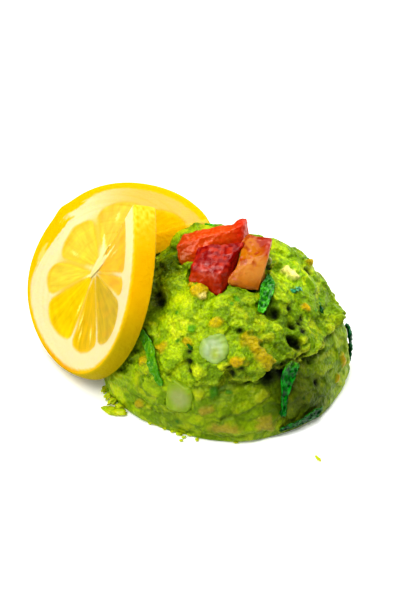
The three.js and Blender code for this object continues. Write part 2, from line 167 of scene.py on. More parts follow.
def put_in_scene(name, data):
    """A new object of the scene that shows a mesh, a light or a camera."""
    thing = bpy.data.objects.new(name, data)
    bpy.context.scene.collection.objects.link(thing)
    return thing


def mesh_of(bm, name):
    """A mesh of the bmesh, which is used up."""
    mesh = bpy.data.meshes.new(name)
    bm.to_mesh(mesh)
    bm.free()
    return mesh


def finish_piece(name, bm, material, slot, *replaced):
    """Makes the bmesh a smooth shaded piece that rides on the body."""
    mesh = mesh_of(bm, name)
    mesh.shade_smooth()
    mesh.materials.append(material)
    piece = put_in_scene(name, mesh)
    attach(piece, BODY)
    if replaced:
        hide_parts(*replaced)


def copy_of_node(node):
    """A bmesh of a CAD node's shell with its loose triangles merged."""
    bm = bmesh.new()
    bm.from_mesh(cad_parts[node].data)
    bmesh.ops.remove_doubles(bm, verts=bm.verts, dist=WELD_MM * MM)
    return bm


def remeshed(shells, voxel_mm):
    """One closed bmesh of even small faces round all the shells, which are used up."""
    joined = bmesh.new()
    for shell in shells:
        part = mesh_of(shell, "shell")
        joined.from_mesh(part)
        bpy.data.meshes.remove(part)
    mesh = mesh_of(joined, "shells")
    holder = put_in_scene("shells", mesh)
    remesh = holder.modifiers.new("Remesh", "REMESH")
    remesh.mode = "VOXEL"
    remesh.voxel_size = voxel_mm * MM
    remesh.adaptivity = 0
    evaluated = holder.evaluated_get(bpy.context.evaluated_depsgraph_get())
    bm = bmesh.new()
    bm.from_mesh(evaluated.to_mesh())
    evaluated.to_mesh_clear()
    bpy.data.objects.remove(holder)
    bpy.data.meshes.remove(mesh)
    return bm


def soften(bm, times):
    """Smooths a shell, once for every time."""
    all_axes = {"use_axis_x": True, "use_axis_y": True, "use_axis_z": True}
    for _ in range(times):
        bmesh.ops.smooth_vert(bm, verts=bm.verts, factor=0.5, **all_axes)


def swell(bm, distance_mm, shift):
    """Moves a shell's surface outwards, and the whole of it by the shift."""
    bm.normal_update()
    for vert in bm.verts:
        vert.co += vert.normal * distance_mm * MM + shift


def axes_on(normal, turn):
    """Three axes at a surface: level, turned by some degrees, upwards along it, and its normal."""
    level = Vector((0, 0, 1)).cross(normal)
    level = level.normalized() if level.length > 0.001 else Vector((1, 0, 0))
    spin = Matrix.Rotation(math.radians(turn), 3, normal)
    return spin @ level, spin @ normal.cross(level), normal


def add_bit(bm, middle, axes, halves, bumpiness):
    """Adds a lumpy bit round a place in millimetres, from its three axes and half sizes."""
    made = bmesh.ops.create_icosphere(bm, subdivisions=3, radius=1)
    for vert in made["verts"]:
        bumpy = 1 + bumpiness * ripple(vert.co * 1.7 + middle)
        bumpy += 0.4 * bumpiness * ripple(vert.co * 4 + middle)
        place = middle.copy()
        for axis, half, share in zip(axes, halves, vert.co):
            place += axis * half * share * bumpy
        vert.co = place * MM
    return made["verts"]


def pull(bm, pulls):
    """Draws out a shell's corners: place in the view, reach, and way right and up in millimetres."""
    surface = Surface(bm)
    _, right, up = camera_axes()
    spots = [(surface.under(x, y)[0], *rest) for x, y, *rest in pulls]
    for vert in bm.verts:
        move = Vector()
        for place, reach, aside, rise in spots:
            share = bell((vert.co - place).length, reach * MM)
            move += (right * aside + up * rise) * share * MM
        vert.co += move


def camera_axes():
    """The ways back to the camera, right and up in the view."""
    tilt = math.radians(CAMERA_TILT)
    back = Vector((0, -math.cos(tilt), math.sin(tilt)))
    up = Vector((0, math.sin(tilt), math.cos(tilt)))
    return back, Vector((1, 0, 0)), up


def view_ray(x, y):
    """The camera's place in millimetres, and the direction through a point of the view."""
    back, right, up = camera_axes()
    pixels = VIEW_HEIGHT * LENS_MM / SENSOR_MM
    way = right * (x - VIEW_WIDTH / 2) / pixels + up * (VIEW_HEIGHT / 2 - y) / pixels - back
    return CAMERA_AIM_MM + back * CAMERA_DISTANCE_MM, way.normalized()


class Surface:
    """A shell that points of the view are dropped onto."""

    def __init__(self, bm):
        self.tree = BVHTree.FromBMesh(bm)

    def under(self, x, y):
        """The place and normal, in metres, that show at a point of the view."""
        place, way = view_ray(x, y)
        hit, normal, _, _ = self.tree.ray_cast(place * MM, way)
        if hit is None:
            beside = place + way * (CAMERA_AIM_MM - place).dot(way)
            hit, normal, _, _ = self.tree.find_nearest(beside * MM)
        return hit, normal


def surface_of(name):
    """The surface of a finished piece."""
    bm = bmesh.new()
    bm.from_mesh(bpy.data.objects[name].data)
    surface = Surface(bm)
    bm.free()
    return surface


# ---- The mash ----

# How wide the small faces of the mash and of its seats are, in millimetres.
MASH_VOXEL_MM = 0.385
SEAT_VOXEL_MM = 0.5
# The torn lip round the front: its heading and spread in degrees, and its height in millimetres.
LIP = (-58, 46, 17.6)
# The smooth, pressed part at the front left: heading and spread in degrees, height and reach in
# millimetres.
FACET = (-118, 22, 29, 8)
# How far the onion's seats stand off it and sink inwards, in millimetres.
SEAT_GAP_MM = 0.6
SEAT_SINK_MM = 1.0
# Beyond these, in millimetres, a lump or a seat no longer counts.
LUMP_REACH_MM = 7
SEAT_REACH_MM = 8

MASH_CREASE_SHADE = "#3b550a"
MASH_DEEP = "#7d9c05"
MASH_GREEN = "#a2bb0a"
MASH_LIGHT = "#b6c514"
MASH_PALE = "#c2ca3c"
MASH_YELLOW = "#c2ba06"
MASH_PIT_SHADE = "#142202"
MASH_LIP_SHADOW = "#26380a"
MASH_ROUND_ONION = "#93aa38"
FLECK = "#2f7d10"

# The lumps' colours.
CREAM = "#dccf84"
YELLOW = "#c8a404"
GOLD = "#bca402"
TAN = "#b7a638"
PALE = "#bcc61c"
LEAFY = "#4c9410"

# Avocado lumps that show their own colour: place in the view, length and width in millimetres,
# turn in degrees, rise in millimetres and colour.
LUMPS = [
    (199, 291, 5, 4.2, -40, 0.8, YELLOW), (202, 296, 2.4, 1.8, 0, 0.3, CREAM),
    (258, 350, 5.4, 3.4, -50, 0.5, GOLD), (190, 284, 2.6, 1.6, 20, 0.4, YELLOW),
    (216, 323, 4.6, 2.6, 10, 0.6, GOLD), (252, 342, 6.4, 4.6, -50, 0.8, GOLD),
    (265, 360, 7, 4, -55, 0.9, GOLD), (268, 337, 4, 2.2, -20, 0.6, PALE),
    (236, 363, 5.8, 2.6, 8, 0.8, YELLOW), (223, 366, 3.4, 1.8, 30, 0.5, PALE),
    (162, 347, 4.2, 3.2, 50, 0.6, GOLD), (187, 342, 4, 2.6, -30, 0.5, GOLD),
    (174, 334, 3.6, 1.5, -55, 0.4, PALE), (142, 360, 3.4, 2.4, 40, 0.5, GOLD),
    (197, 371, 4.4, 3.4, -15, 0.5, PALE), (199, 395, 3.4, 3.6, 0, 0.4, PALE),
    (206, 411, 4.2, 2.6, 20, 0.3, TAN), (262, 396, 5, 3, 35, 0.5, PALE),
    (226, 430, 9, 3, 5, 0.3, TAN), (264, 424, 6, 4.6, -15, 0.4, TAN),
    (343, 361, 3, 5.6, 10, 0.6, YELLOW), (338, 378, 3.4, 2.4, 0, 0.5, YELLOW),
    (291, 272, 3.6, 5, 35, 0.6, CREAM), (309, 262, 3.6, 2, -40, 1, YELLOW),
    (302, 352, 6, 1.5, 12, 0.9, PALE), (322, 347, 5, 1.3, 15, 0.9, PALE),
    (306, 307, 3, 2, -60, 0.4, YELLOW), (331, 327, 2, 4, 15, 0.5, PALE),
    (139, 404, 4, 2.4, 30, 0.4, GOLD), (191, 329, 2.8, 2.4, 0, 0, LEAFY),
    (214, 393, 2.4, 3.2, 20, 0, LEAFY), (148, 407, 1.8, 1.6, 0, 0.3, PALE),
    (237, 299, 2, 1.5, 0, 0.2, LEAFY), (232, 303, 1.4, 1.2, 0, 0.1, LEAFY),
    (229, 392, 1.8, 1.5, 0, 0.1, LEAFY), (305, 340, 2.6, 1.5, 20, 0.6, PALE),
    (246, 316, 2.2, 1.2, 70, 0.2, PALE),
]

# Pits and tears, darkened inside as painted shade: place in the view, radius and depth in
# millimetres.
PITS = [
    (158, 301, 2.4, 2), (155, 292, 2, 0.8), (291, 342, 1.5, 2.2), (297, 343, 1.2, 1.4),
    (293, 325, 1.2, 1.6), (300, 322, 1, 1.2), (308, 272, 1.2, 1.5), (276, 314, 1.6, 1),
    (189, 362, 1, 0.8), (189, 371, 0.9, 0.8), (317, 383, 1, 0.8), (304, 330, 1.2, 0.7),
    (270, 378, 2, 1.1), (285, 376, 1.6, 1), (232, 376, 1.3, 0.6), (240, 330, 0.8, 0.6),
    (269, 268, 0.9, 0.7), (279, 371, 1.2, 1.6), (272, 376, 1, 1.4), (262, 377, 0.8, 0.9),
    (284, 366, 0.9, 1), (242, 371, 1, 0.8), (228, 369, 0.8, 0.6), (189, 352, 0.8, 0.7),
    (302, 318, 0.8, 0.7), (299, 347, 1.2, 1.2), (266, 312, 0.9, 0.8), (290, 309, 0.8, 0.6),
]

# Wider rises of the mash: place in the view, reach and rise in millimetres.
SWELLS = [
    (282, 250, 5, 1.3), (194, 233, 6, 1.7), (212, 229, 6.5, 2.4),
    (282, 431, 4.5, 0.4), (341, 335, 6, 1.3), (180, 432, 8, -0.6),
    (212, 439, 7, -0.5),
]

# Painted shade where the light finds less of the mash, and painted light where the share is below 0:
# place in the view, reach in millimetres and share.
SHADES = [
    (165, 266, 7, 0.52), (298, 398, 11, 0.58), (338, 354, 8, 0.2), (283, 384, 7, 0.35),
    (318, 400, 9, 0.42), (236, 300, 8, 0.1), (262, 332, 8, 0.13), (240, 415, 9, 0.12),
    (232, 396, 8, 0.22), (206, 404, 5, 0.15), (140, 380, 8, 0.12), (140, 396, 6, 0.14),
    (170, 417, 6.5, 0.34), (215, 432, 6.5, 0.26), (294, 268, 8, -0.45),
]

# Onion set in the mash: place in the view and half widths in millimetres.
ONION_SEATS = [(216, 347, 3.7, 3.9), (178, 401, 3.2, 2.8)]


def scrap_at(place, size_mm, salt):
    """Scraps pressed together: a point's height, how near a seam it is, and its tone. Height and
    tone run from about -1 to 1."""
    spot = place / size_mm
    distances, cells = noise.voronoi(spot)
    heights = []
    tones = []
    for cell in cells[:2]:
        lean = Vector([random_of(cell, salt + k) - 0.5 for k in (1, 2, 3)])
        tones.append(2 * random_of(cell, salt + 4) - 1)
        heights.append(0.8 * random_of(cell, salt + 5) - 0.4 + 1.8 * lean.dot(spot - cell))
    apart = distances[1] - distances[0]
    own = 0.5 + 0.5 * ramp(0, 0.16, apart)
    height = own * heights[0] + (1 - own) * heights[1]
    tone = own * tones[0] + (1 - own) * tones[1]
    return height, bell(apart, 0.09), tone


class Mash:
    """The visible mash: its shell is shaped and coloured point by point."""

    def __init__(self, coarseness):
        self.coarseness = coarseness
        onions = [remeshed([copy_of_node(node)], SEAT_VOXEL_MM) for node in ("onion_1", "onion_2")]
        for onion in onions:
            soften(onion, 6)
            middle = sum((vert.co for vert in onion.verts), Vector()) / len(onion.verts)
            inwards = Vector((-middle.x, -middle.y, 0)).normalized()
            swell(onion, SEAT_GAP_MM, inwards * SEAT_SINK_MM * MM)
        self.bm = remeshed([copy_of_node("guacamole")] + onions, MASH_VOXEL_MM)
        soften(self.bm, 8)
        self.surface = Surface(self.bm)
        self.lumps = [self.patch(x, y, *rest) for x, y, *rest in LUMPS]
        self.seats = [self.patch(x, y, 2 * a, 2 * b, 0) for x, y, a, b in ONION_SEATS]
        spots = ([self.spot(*row) for row in rows] for rows in (PITS, SHADES, SWELLS))
        self.pits, self.shades, self.swells = spots

    def spot(self, x, y, *rest):
        """A spot's place in millimetres, and its own values."""
        return (self.surface.under(x, y)[0] / MM, *rest)

    def patch(self, x, y, length, width, turn, *rest):
        """A patch's middle, its two axes over their half lengths, and its own values."""
        place, normal = self.surface.under(x, y)
        across, upright, _ = axes_on(normal, turn)
        return (place / MM, across * 2 / length, upright * 2 / width, *rest)

    def shape(self):
        """Moves every point along its normal and colours it."""
        self.bm.normal_update()
        tint = self.bm.verts.layers.float_color.new("tint")
        wet = self.bm.verts.layers.float.new("wetness")
        moves = []
        for vert in self.bm.verts:
            point = vert.co / MM
            if point.z < 0.02 and vert.normal.z < -0.99:
                moves.append(Vector())
                continue
            move, colour, wetness = self.at(point)
            vert[tint] = (*colour, 1)
            vert[wet] = wetness
            moves.append(vert.normal * move * MM)
        for vert, move in zip(self.bm.verts, moves):
            vert.co += move
            vert.co.z = max(vert.co.z, 0)
        under = [vert for vert in self.bm.verts if vert.co.z < 0.01 * MM and vert.normal.z < -0.99]
        edges = list(dict.fromkeys(edge for vert in under for edge in vert.link_edges))
        bmesh.ops.dissolve_limit(self.bm, angle_limit=0.02, verts=under, edges=edges)
        return self.bm

    def at(self, point):
        """The rise in millimetres, colour and wetness at a point of the shell."""
        azimuth = math.degrees(math.atan2(point.y, point.x))
        lip, spread, lip_height = LIP
        from_lip = turn_between(lip, azimuth)
        lip_share = bell(from_lip, spread)
        ragged = 1.5 * ripple(point / 5 + Vector((3, 1, 2))) + 0.7 * ripple(point / 1.8)
        over = point.z - lip_height - ragged - 0.045 * from_lip
        below = 1 - ramp(-1.5, 1.5, over)
        heading, spread, height, reach = FACET
        facet = bell(turn_between(heading, azimuth), spread) * bell(point.z - height, reach)
        rough = self.coarseness * (1 - 0.45 * below) * (1 - 0.55 * facet)

        squeezed = Vector((point.x, point.y, point.z * (1 + 0.5 * below)))
        place = squeezed + noise.noise_vector(point / 7) * 2.4 + noise.noise_vector(point / 2) * 0.6
        big, big_seam, big_tone = scrap_at(place, 5.2, 0)
        small, small_seam, small_tone = scrap_at(place, 2.1, 5)
        fold = ripple(point / 10 + Vector((4, 4, 4)))
        fine = noise.turbulence(point / 1.1, 2, False, amplitude_scale=0.6, frequency_scale=2.0)
        move = rough * (0.5 * big + 0.16 * small + 0.5 * fold + 0.07 * fine)
        # Painted shade darkens the seams between the pressed scraps.
        crease_shade = 0.7 * big_seam + 0.3 * small_seam

        calm = 1 - 0.35 * below
        tone = 0.49 + calm * (0.14 * fold + 0.11 * big_tone + 0.13 * small_tone)
        tone += 0.14 * ripple(point / 0.9) + 0.12 * facet - 0.04 * below
        yellow = ramp(0.15, 0.5, ripple(place / 4.2 + Vector((8, 1, 5))) + 0.2 * small_tone)
        colour = coated(
            self.green(tone),
            (MASH_YELLOW, 0.24 * yellow + 0.1 * facet),
            (MASH_CREASE_SHADE, 0.4 * crease_shade * (1 - 0.6 * facet)),
        )
        leafy = noise.voronoi(point / 1.7 + Vector((2, 9, 5)))
        if random_of(leafy[1][0], 9) > 0.93:
            colour = blend(colour, FLECK, 0.8 * (1 - ramp(0.15, 0.42, leafy[0][0])))

        move, colour = self.add_lumps(point, move, colour, fine)
        # Each pit sinks, and its inside is darkened as painted shade.
        for middle, radius, depth in self.pits:
            inside = bell((point - middle).length, radius)
            move -= depth * inside
            colour = blend(colour, MASH_PIT_SHADE, min(1.0, 1.1 * inside))
        for middle, reach, rise in self.swells:
            move += rise * bell((point - middle).length, reach)
        # Painted shade, or painted light where the share is below 0.
        for middle, reach, share in self.shades:
            dim = 1 - share * bell((point - middle).length, reach)
            colour = tuple(channel * dim for channel in colour)
        if lip_share > 0.1:
            move += 1.2 * bell(over - 0.7, 0.8) * lip_share * (1 + 0.8 * big)
            move -= 1.3 * bell(over + 0.7, 0.7) * lip_share
            # Painted shadow under the torn lip, and a painted highlight along its upper edge.
            under = bell(over + 0.8, 0.8) * lip_share
            lip_highlight = 0.45 * bell(over - 0.7, 0.5) * lip_share
            colour = coated(colour, (MASH_LIP_SHADOW, 0.7 * under), (MASH_PALE, lip_highlight))
        standing = ramp(0.1, 1.2, point.z)
        return move * standing, colour, 0.7 + 0.3 * ripple(point / 3.1) - 0.4 * below

    def add_lumps(self, point, move, colour, fine):
        """Adds the lumps of avocado and the onion's seats to the rise and the colour."""
        for middle, across, upright, rise, lump_colour in self.lumps:
            away = point - middle
            if away.length > LUMP_REACH_MM:
                continue
            swirl = noise.noise_vector(point / 1.7 + middle) * 0.5
            flat = Vector((away.dot(across), away.dot(upright), 0)) + swirl
            reach = (abs(flat.x) ** 2.6 + abs(flat.y) ** 2.6) ** (1 / 2.6)
            inside = 1 - ramp(0.55, 1.2, reach)
            rim = bell(reach - 1.2, 0.15)
            slant = 1 + 0.4 * flat.y
            move = move * (1 - 0.75 * inside) + rise * slant * inside * (1 - 0.4 * min(reach, 1) ** 3)
            move -= 0.12 * rim
            # Each lump is painted a little lighter at its middle and darker to its edge, and the sunken
            # groove round it gets painted shade.
            shade = 0.9 + 0.16 * (1 - reach) + 0.16 * fine
            lump = tuple(channel * shade for channel in linear(lump_colour))
            colour = coated(colour, (lump, inside * 0.8), (MASH_DEEP, 0.2 * rim))
        for middle, across, upright in self.seats:
            away = point - middle
            if away.length > SEAT_REACH_MM:
                continue
            swirl = noise.noise_vector(point / 1.8) * 0.5
            reach = math.hypot(away.dot(across) + 0.5 * swirl.x, away.dot(upright) + 0.5 * swirl.y)
            inside = 1 - ramp(0.85, 1.05, reach)
            move = move * (1 - inside) - (0.5 + 0.5 * swirl.z) * inside
            colour = blend(colour, MASH_ROUND_ONION, 0.25 * bell(reach - 0.9, 0.3))
        return move, colour

    def green(self, tone):
        """A mash green, from deep at 0 to pale at 1."""
        stops = [(0.1, MASH_DEEP), (0.42, MASH_GREEN), (0.7, MASH_LIGHT), (1.0, MASH_PALE)]
        for (low, first), (high, second) in zip(stops, stops[1:]):
            if tone <= high:
                return blend(first, second, ramp(low, high, tone))
        return linear(MASH_PALE)


def mash_material():
    """Mashed avocado: soft and oily, so light goes in a little way and glints off the grain."""
    material, add = new_material("mashed avocado")
    place = add("TexCoord").outputs["Object"]
    tint = add("Attribute", attribute_name="tint")
    wetness = add("Attribute", attribute_name="wetness").outputs["Fac"]
    # Fibres and flecks, somewhat under 1 mm, stronger where the mash is wet; their bright specks are
    # partly painted glints on the wet grain.
    fleck = add("TexNoise", {"Vector": place, "Scale": 1 / (0.8 * MM), "Detail": 5})
    ends = {"From Min": 0.35, "From Max": 0.72, "To Min": -0.24, "To Max": 0.55}
    contrast = add("MapRange", {"Value": fleck, **ends})
    fleck_and_glint = add("Math", {0: contrast, 1: wetness, 2: 1.0}, operation="MULTIPLY_ADD")
    colour = add("VectorMath", {0: tint, "Scale": fleck_and_glint}, operation="SCALE")
    # Grains of 0.6 mm and tiny air bubbles.
    grain = add("TexNoise", {"Vector": place, "Scale": 1 / (0.6 * MM), "Detail": 4})
    bubble = add("TexVoronoi", {"Vector": place, "Scale": 1 / (0.9 * MM)})
    height = add("Math", {0: grain, 1: bubble}, operation="ADD")
    relief = add("MapRange", {"Value": wetness, "To Min": 0.3, "To Max": 1.1})
    bump = add("Bump", {"Height": height, "Strength": relief, "Distance": 0.35 * MM})
    # An oily shine on the wet parts.
    roughness = add("MapRange", {"Value": wetness, "To Min": 0.45, "To Max": 0.25})
    # Light goes in under 1 mm, and comes out green.
    look = (1.3, 0.25, (1.0, 1.2, 0.2), 0.8)
    add_shader(add, colour, roughness, bump, look)
    return material


# ---- The lemon slice, on the same plan as its solid ----

# Radius in millimetres, and the slit's heading, tilt and roll in degrees.
LEMON_RADIUS = 28.95
LEMON_TURNS = (-34.2, 60.9, -137.3)
# Evenly round the disc: its bend in degrees for each degree, and its thickness in millimetres.
LEMON_BENDS = [0.29, -0.03, -0.21, -0.42, 0.38, 0.9, -0.1, -1.33]
LEMON_THICKNESSES = [6.4, 6, 5.2, 5.3, 5.7, 6, 6, 6]
# The core, how far it shifts towards the slit's other end in millimetres, and between which degrees.
LEMON_CORE = Vector((-36.57, 3.81, 29.2))
LEMON_CORE_SHIFT = Vector((3.5, 4.14, 5.88))
LEMON_SHIFT_BETWEEN = (200, 330)
# A wider and a narrow bulge of the rim: middle and spread in degrees, and height in millimetres.
LEMON_SWELL = (268, 27, 1.7)
LEMON_NICK = (251, 4, 0.9)
# How far the rim flares towards its back and rounds outwards, in millimetres.
LEMON_FLARE = 0.8
LEMON_BULGE = 0.3
# The ring where the disc stops facing the way its core does.
LEMON_CORE_BLEND = 0.35
# Cells of its surface: round it, outwards and through it.
LEMON_CELLS = (420, 80, 12)
LEMON_WELD_MM = 0.05

# The ring where the cut zest begins, evenly round the face, and the dip where the cut runs along it:
# middle and spread in degrees, and depth.
ZEST_RINGS = [0.99, 0.985, 0.98, 0.975, 0.965, 0.955, 0.95, 0.955, 0.955, 0.925, 0.9, 0.91, 0.94]
ZEST_DIP = (240, 24, 0.18)

# Juicy segments, seen from the face: from and to in degrees, the outer ring at its two shoulders and
# its middle, and colour, partly the pulp's own and partly painted shade, darker where a segment lies
# in shade.
SEGMENTS = [
    (-30, 40, 0.78, 0.8, 0.79, "#dea806"),
    (42, 57, 0.78, 0.8, 0.75, "#d6a204"),
    (58.5, 102, 0.77, 0.87, 0.77, "#b49800"),
    (103.5, 144, 0.76, 0.8, 0.73, "#c4a200"),
    (146, 191, 0.72, 0.78, 0.67, "#cfb20c"),
    (193, 224, 0.66, 0.7, 0.56, "#ceb846"),
    (226, 268, 0.55, 0.64, 0.56, "#cdb344"),
    (270, 313, 0.6, 0.71, 0.64, "#ceae48"),
    (315, 400, 0.66, 0.8, 0.8, "#d89e02"),
]
# Bright juice and membrane that catch the light: degrees, ring, half length and half width in mm.
JUICE_GLINTS = [
    (139, 0.51, 2.4, 0.35), (134, 0.62, 1.6, 0.3), (115, 0.63, 2, 0.35), (151, 0.4, 2, 0.3),
    (236, 0.4, 1.6, 0.3), (290, 0.5, 1.8, 0.3), (18, 0.5, 1.8, 0.3),
]
# Pale streaks from the core: degrees, ring where they end and half width in millimetres.
PITH_STREAKS = [(9, 0.52, 1.1), (354, 0.5, 0.9), (277, 0.3, 0.5), (189, 0.12, 0.9)]
# Where the face differs, in degrees: paler pulp, the flush by the core, the white flap at the slit,
# whitened further as painted light where it faces away from the light, the deeper zest, and the pale
# patch on the zest with its ring.
PALE_AT = 240
FLUSH_AT = 14
FLAP_AT = 5
DEEP_ZEST_AT = 148
ZEST_PATCH_AT = (226, 0.85)
# The strand of pith across the slit: degrees and ring at both ends, half width and how far it sinks,
# in millimetres.
STRAND = ((189, 0.07), (6, 0.3))
STRAND_HALF = 1.2
STRAND_SINK = 0.35

PITH = "#dcce9e"
PITH_BACK = "#d4ab40"
MEMBRANE = "#d4b232"
ZEST = "#dcb404"
ZEST_PORE_GLINT = "#e2cc4c"
ZEST_DEEP = "#d38404"
ZEST_PATCH = "#dfc670"
PULP_PALE = "#e6c840"
PULP_DEEP = "#d09c00"
PULP_HOLLOW = "#d28e00"
PULP_FLUSH = "#e09630"
JUICE_GLINT = "#f8e68c"
PITH_STREAK = "#eedf9c"
FLAP_PITH_PAINTED_LIGHT = "#eede9c"
RIND = ("#e2b800", "#daa802")
RIND_LOW_SHADE = "#b09c04"
SLIT_END_PAINTED_LIGHT = ("#f0c004", "#f6dc70")
STRAND_TONE = "#e8d690"


def along_list(values, degrees):
    """The value at an angle of a list that is spread evenly round the disc."""
    place = degrees / 360 * (len(values) - 1)
    knot = min(int(place), len(values) - 2)
    return values[knot] + (values[knot + 1] - values[knot]) * (place - knot)


def hump(degrees, middle, spread, height):
    """The height at an angle of a hump of the rim."""
    return height * bell(degrees - middle, spread)


class LemonSlice:
    """A disc slit along a radius and bent about its radii."""

    def __init__(self):
        heading, tilt, roll = (math.radians(a) for a in LEMON_TURNS)
        level = math.cos(tilt)
        along = Vector((level * math.cos(heading), level * math.sin(heading), math.sin(tilt)))
        across = Matrix.Rotation(roll, 3, along) @ Vector((0, 0, 1)).cross(along).normalized()
        behind = along.cross(across)
        self.radii = []
        for i in range(361):
            shift = ramp(*LEMON_SHIFT_BETWEEN, i)
            core = LEMON_CORE + LEMON_CORE_SHIFT * shift
            self.radii.append((core, along.copy(), behind.copy(), shift))
            turn = Matrix.Rotation(math.radians(1), 3, behind)
            along, across = turn @ along, turn @ across
            angle = along_list(LEMON_BENDS, min(i + 0.5, 360)) * math.radians(1)
            bend = Matrix.Rotation(angle, 3, along)
            across, behind = bend @ across, bend @ behind
        front = sum((r[2] for r in self.radii if r[3] == 0), Vector()).normalized()
        back = sum((r[2] for r in self.radii if r[3] > 0), Vector()).normalized()
        self.core_ways = (front, back)

    def radius_at(self, degrees):
        """The core, the ways outwards and behind, and the core's shift at an angle."""
        low = min(int(degrees), 359)
        share = degrees - low
        first, second = self.radii[low], self.radii[low + 1]
        core, along, behind = (first[k].lerp(second[k], share) for k in range(3))
        shift = first[3] + (second[3] - first[3]) * share
        return core, along.normalized(), behind.normalized(), shift

    def place(self, degrees, ring, side, sink=0.0):
        """A point in millimetres: ring is 0 at the core and 1 at the zest, side 0 on the face."""
        core, along, behind, shift = self.radius_at(degrees)
        way = self.core_ways[0].lerp(self.core_ways[1], shift).normalized()
        way = way.lerp(behind, ramp(0, LEMON_CORE_BLEND, ring)).normalized()
        reach = LEMON_RADIUS + hump(degrees, *LEMON_SWELL) + side * LEMON_FLARE
        reach += hump(degrees, *LEMON_NICK)
        bulge = LEMON_BULGE * math.sin(math.pi * side) * ramp(0.9, 1, ring)
        depth = side * along_list(LEMON_THICKNESSES, degrees) + sink * (1 if side < 0.5 else -1)
        return core + along * (ring * reach + bulge) + way * depth

    def segment_at(self, degrees, ring):
        """How far into a juicy segment a point is, in millimetres, and the segment's number."""
        arm = ring * LEMON_RADIUS
        sway = 1.6 * ripple(Vector((ring * 3, degrees / 60, 7))) * ramp(0.1, 0.5, ring)
        best = (-9.0, 0)
        for index, (first, second, early, middle, late, _) in enumerate(SEGMENTS):
            span = (degrees - first) / (second - first)
            shoulder = early + (late - early) * min(1.0, max(0.0, span))
            reach = shoulder + (middle - shoulder) * (1 - min(1.0, abs(2 * span - 1)) ** 2.2)
            to_side = min(degrees + sway - first, second - degrees - sway)
            to_side = math.radians(to_side) * arm
            to_rim = (reach - ring) * LEMON_RADIUS
            to_core = arm - 1.5
            corner = math.hypot(max(0.0, 1.8 - to_side), max(0.0, 1.8 - to_rim))
            inside = min(1.8 - corner, to_core)
            if inside > best[0]:
                best = (inside, index)
        return best


def lemon_face(slice_, degrees, ring, back):
    """The colour of a cut face, how juicy the spot is and how far it sinks, in millimetres."""
    arm = ring * LEMON_RADIUS
    arc = math.radians(degrees) * arm
    grain = ripple(Vector((arc / 1.3, arm / 1.3, 4 + 5 * back)))
    blotch = ripple(Vector((arc / 5, arm / 5, 8 + 3 * back)))
    inside, index = slice_.segment_at(degrees, ring)
    juicy = ramp(-0.3, 0.6, inside + 0.15 * grain)
    pale = turn_between(PALE_AT, degrees)
    hollow = bell(inside - 1.2, 0.7) * bell(ring - 0.62, 0.12) * bell(pale, 50)
    # The segment's colour carries painted shade as well as the pulp's own colour.
    pulp = coated(
        SEGMENTS[index][-1],
        (PULP_PALE, 0.3 * ramp(0.0, 0.6, blotch) * bell(pale, 70)),
        (PULP_DEEP, 0.3 * ramp(0.0, 0.6, -blotch)),
        (MEMBRANE, 0.4 * (1 - ramp(0.2, 1.6, inside))),
        (PULP_HOLLOW, 0.35 * hollow),
    )
    for at, at_ring, long, wide in JUICE_GLINTS:
        aside = math.radians(turn_between(at, degrees)) * arm
        glint = bell(aside + 0.5 * grain, wide) * bell((ring - at_ring) * LEMON_RADIUS, long)
        pulp = blend(pulp, JUICE_GLINT, 0.6 * glint * (1 - back))
    streak = 0.0
    for at, end, wide in PITH_STREAKS:
        if ring < end:
            aside = math.radians(turn_between(at, degrees)) * arm
            streak = max(streak, bell(aside + 0.2 * grain, wide * (1.1 - ring / end)) * (1 - back))
    flush = bell(turn_between(FLUSH_AT, degrees), 12) * bell(arm - 6, 4)
    pulp = blend(pulp, PULP_FLUSH, 0.4 * flush)

    far = ramp(255, 300, degrees)
    # Painted light whitens the flap's pith by the slit, which faces away from the light.
    flap_painted_light = bell(turn_between(FLAP_AT, degrees), 25) * ramp(0.6, 0.8, ring) * (degrees < 180)
    between = 1 - ramp(0.42, 0.66, ring)
    pith = coated(
        blend(PITH, PITH_BACK, 0.8 * far + 0.2 * max(0, blotch)),
        (FLAP_PITH_PAINTED_LIGHT, 0.9 * flap_painted_light),
        (MEMBRANE, 0.85 * between * ramp(2.5, 6, arm)),
    )
    middle, spread, depth = ZEST_DIP
    dipped = bell(degrees - middle, spread)
    zest_ring = along_list(ZEST_RINGS, degrees) - depth * dipped
    mottle = 0.012 * grain + (0.12 * blotch + 0.04 * grain) * dipped
    zest = ramp(-0.02 - 0.02 * dipped, 0.014 + 0.02 * dipped, ring - zest_ring - mottle)
    zest_tone = blend(ZEST, ZEST_DEEP, bell(degrees - DEEP_ZEST_AT, 20) * (0.5 + grain))
    at, at_ring = ZEST_PATCH_AT
    spot = bell(math.radians(degrees - at) * arm, 3.2) * bell((ring - at_ring) * LEMON_RADIUS, 1.6)
    patch = ramp(0.2, 0.6, spot + 0.8 * blotch + 0.5 * grain) * ramp(0.1, 0.4, spot)
    zest_tone = blend(zest_tone, ZEST_PATCH, 0.8 * patch)
    colour = coated(pith, (pulp, juicy), (zest_tone, zest), (PITH_STREAK, 0.9 * streak))
    sink = juicy * 0.13 + 0.06 * zest - 0.05 * grain * (1 - juicy) - 0.1 * blotch * juicy
    return colour, juicy, sink


def lemon_rind(degrees, side):
    """The colour of the round side: pitted by the slit, where its pores get painted highlights,
    and deeper below as painted shade.
    """
    pale = bell(degrees - 2, 15) * (1 - 0.3 * side)
    patch = ripple(Vector((degrees / 9, side * 1.5, 1)))
    pore = ripple(Vector((degrees / 2.4, side * 8, 2)))
    # Painted shade on the lower part, and painted highlights on the pores by the slit.
    low = ramp(45, 85, degrees) * (1 - ramp(150, 230, degrees))
    pore_glint = min(1, max(0, pale * (0.7 + 1.4 * pore)))
    return coated(blend(*RIND, 0.5 + 0.5 * patch), (RIND_LOW_SHADE, low), (ZEST_PORE_GLINT, pore_glint))


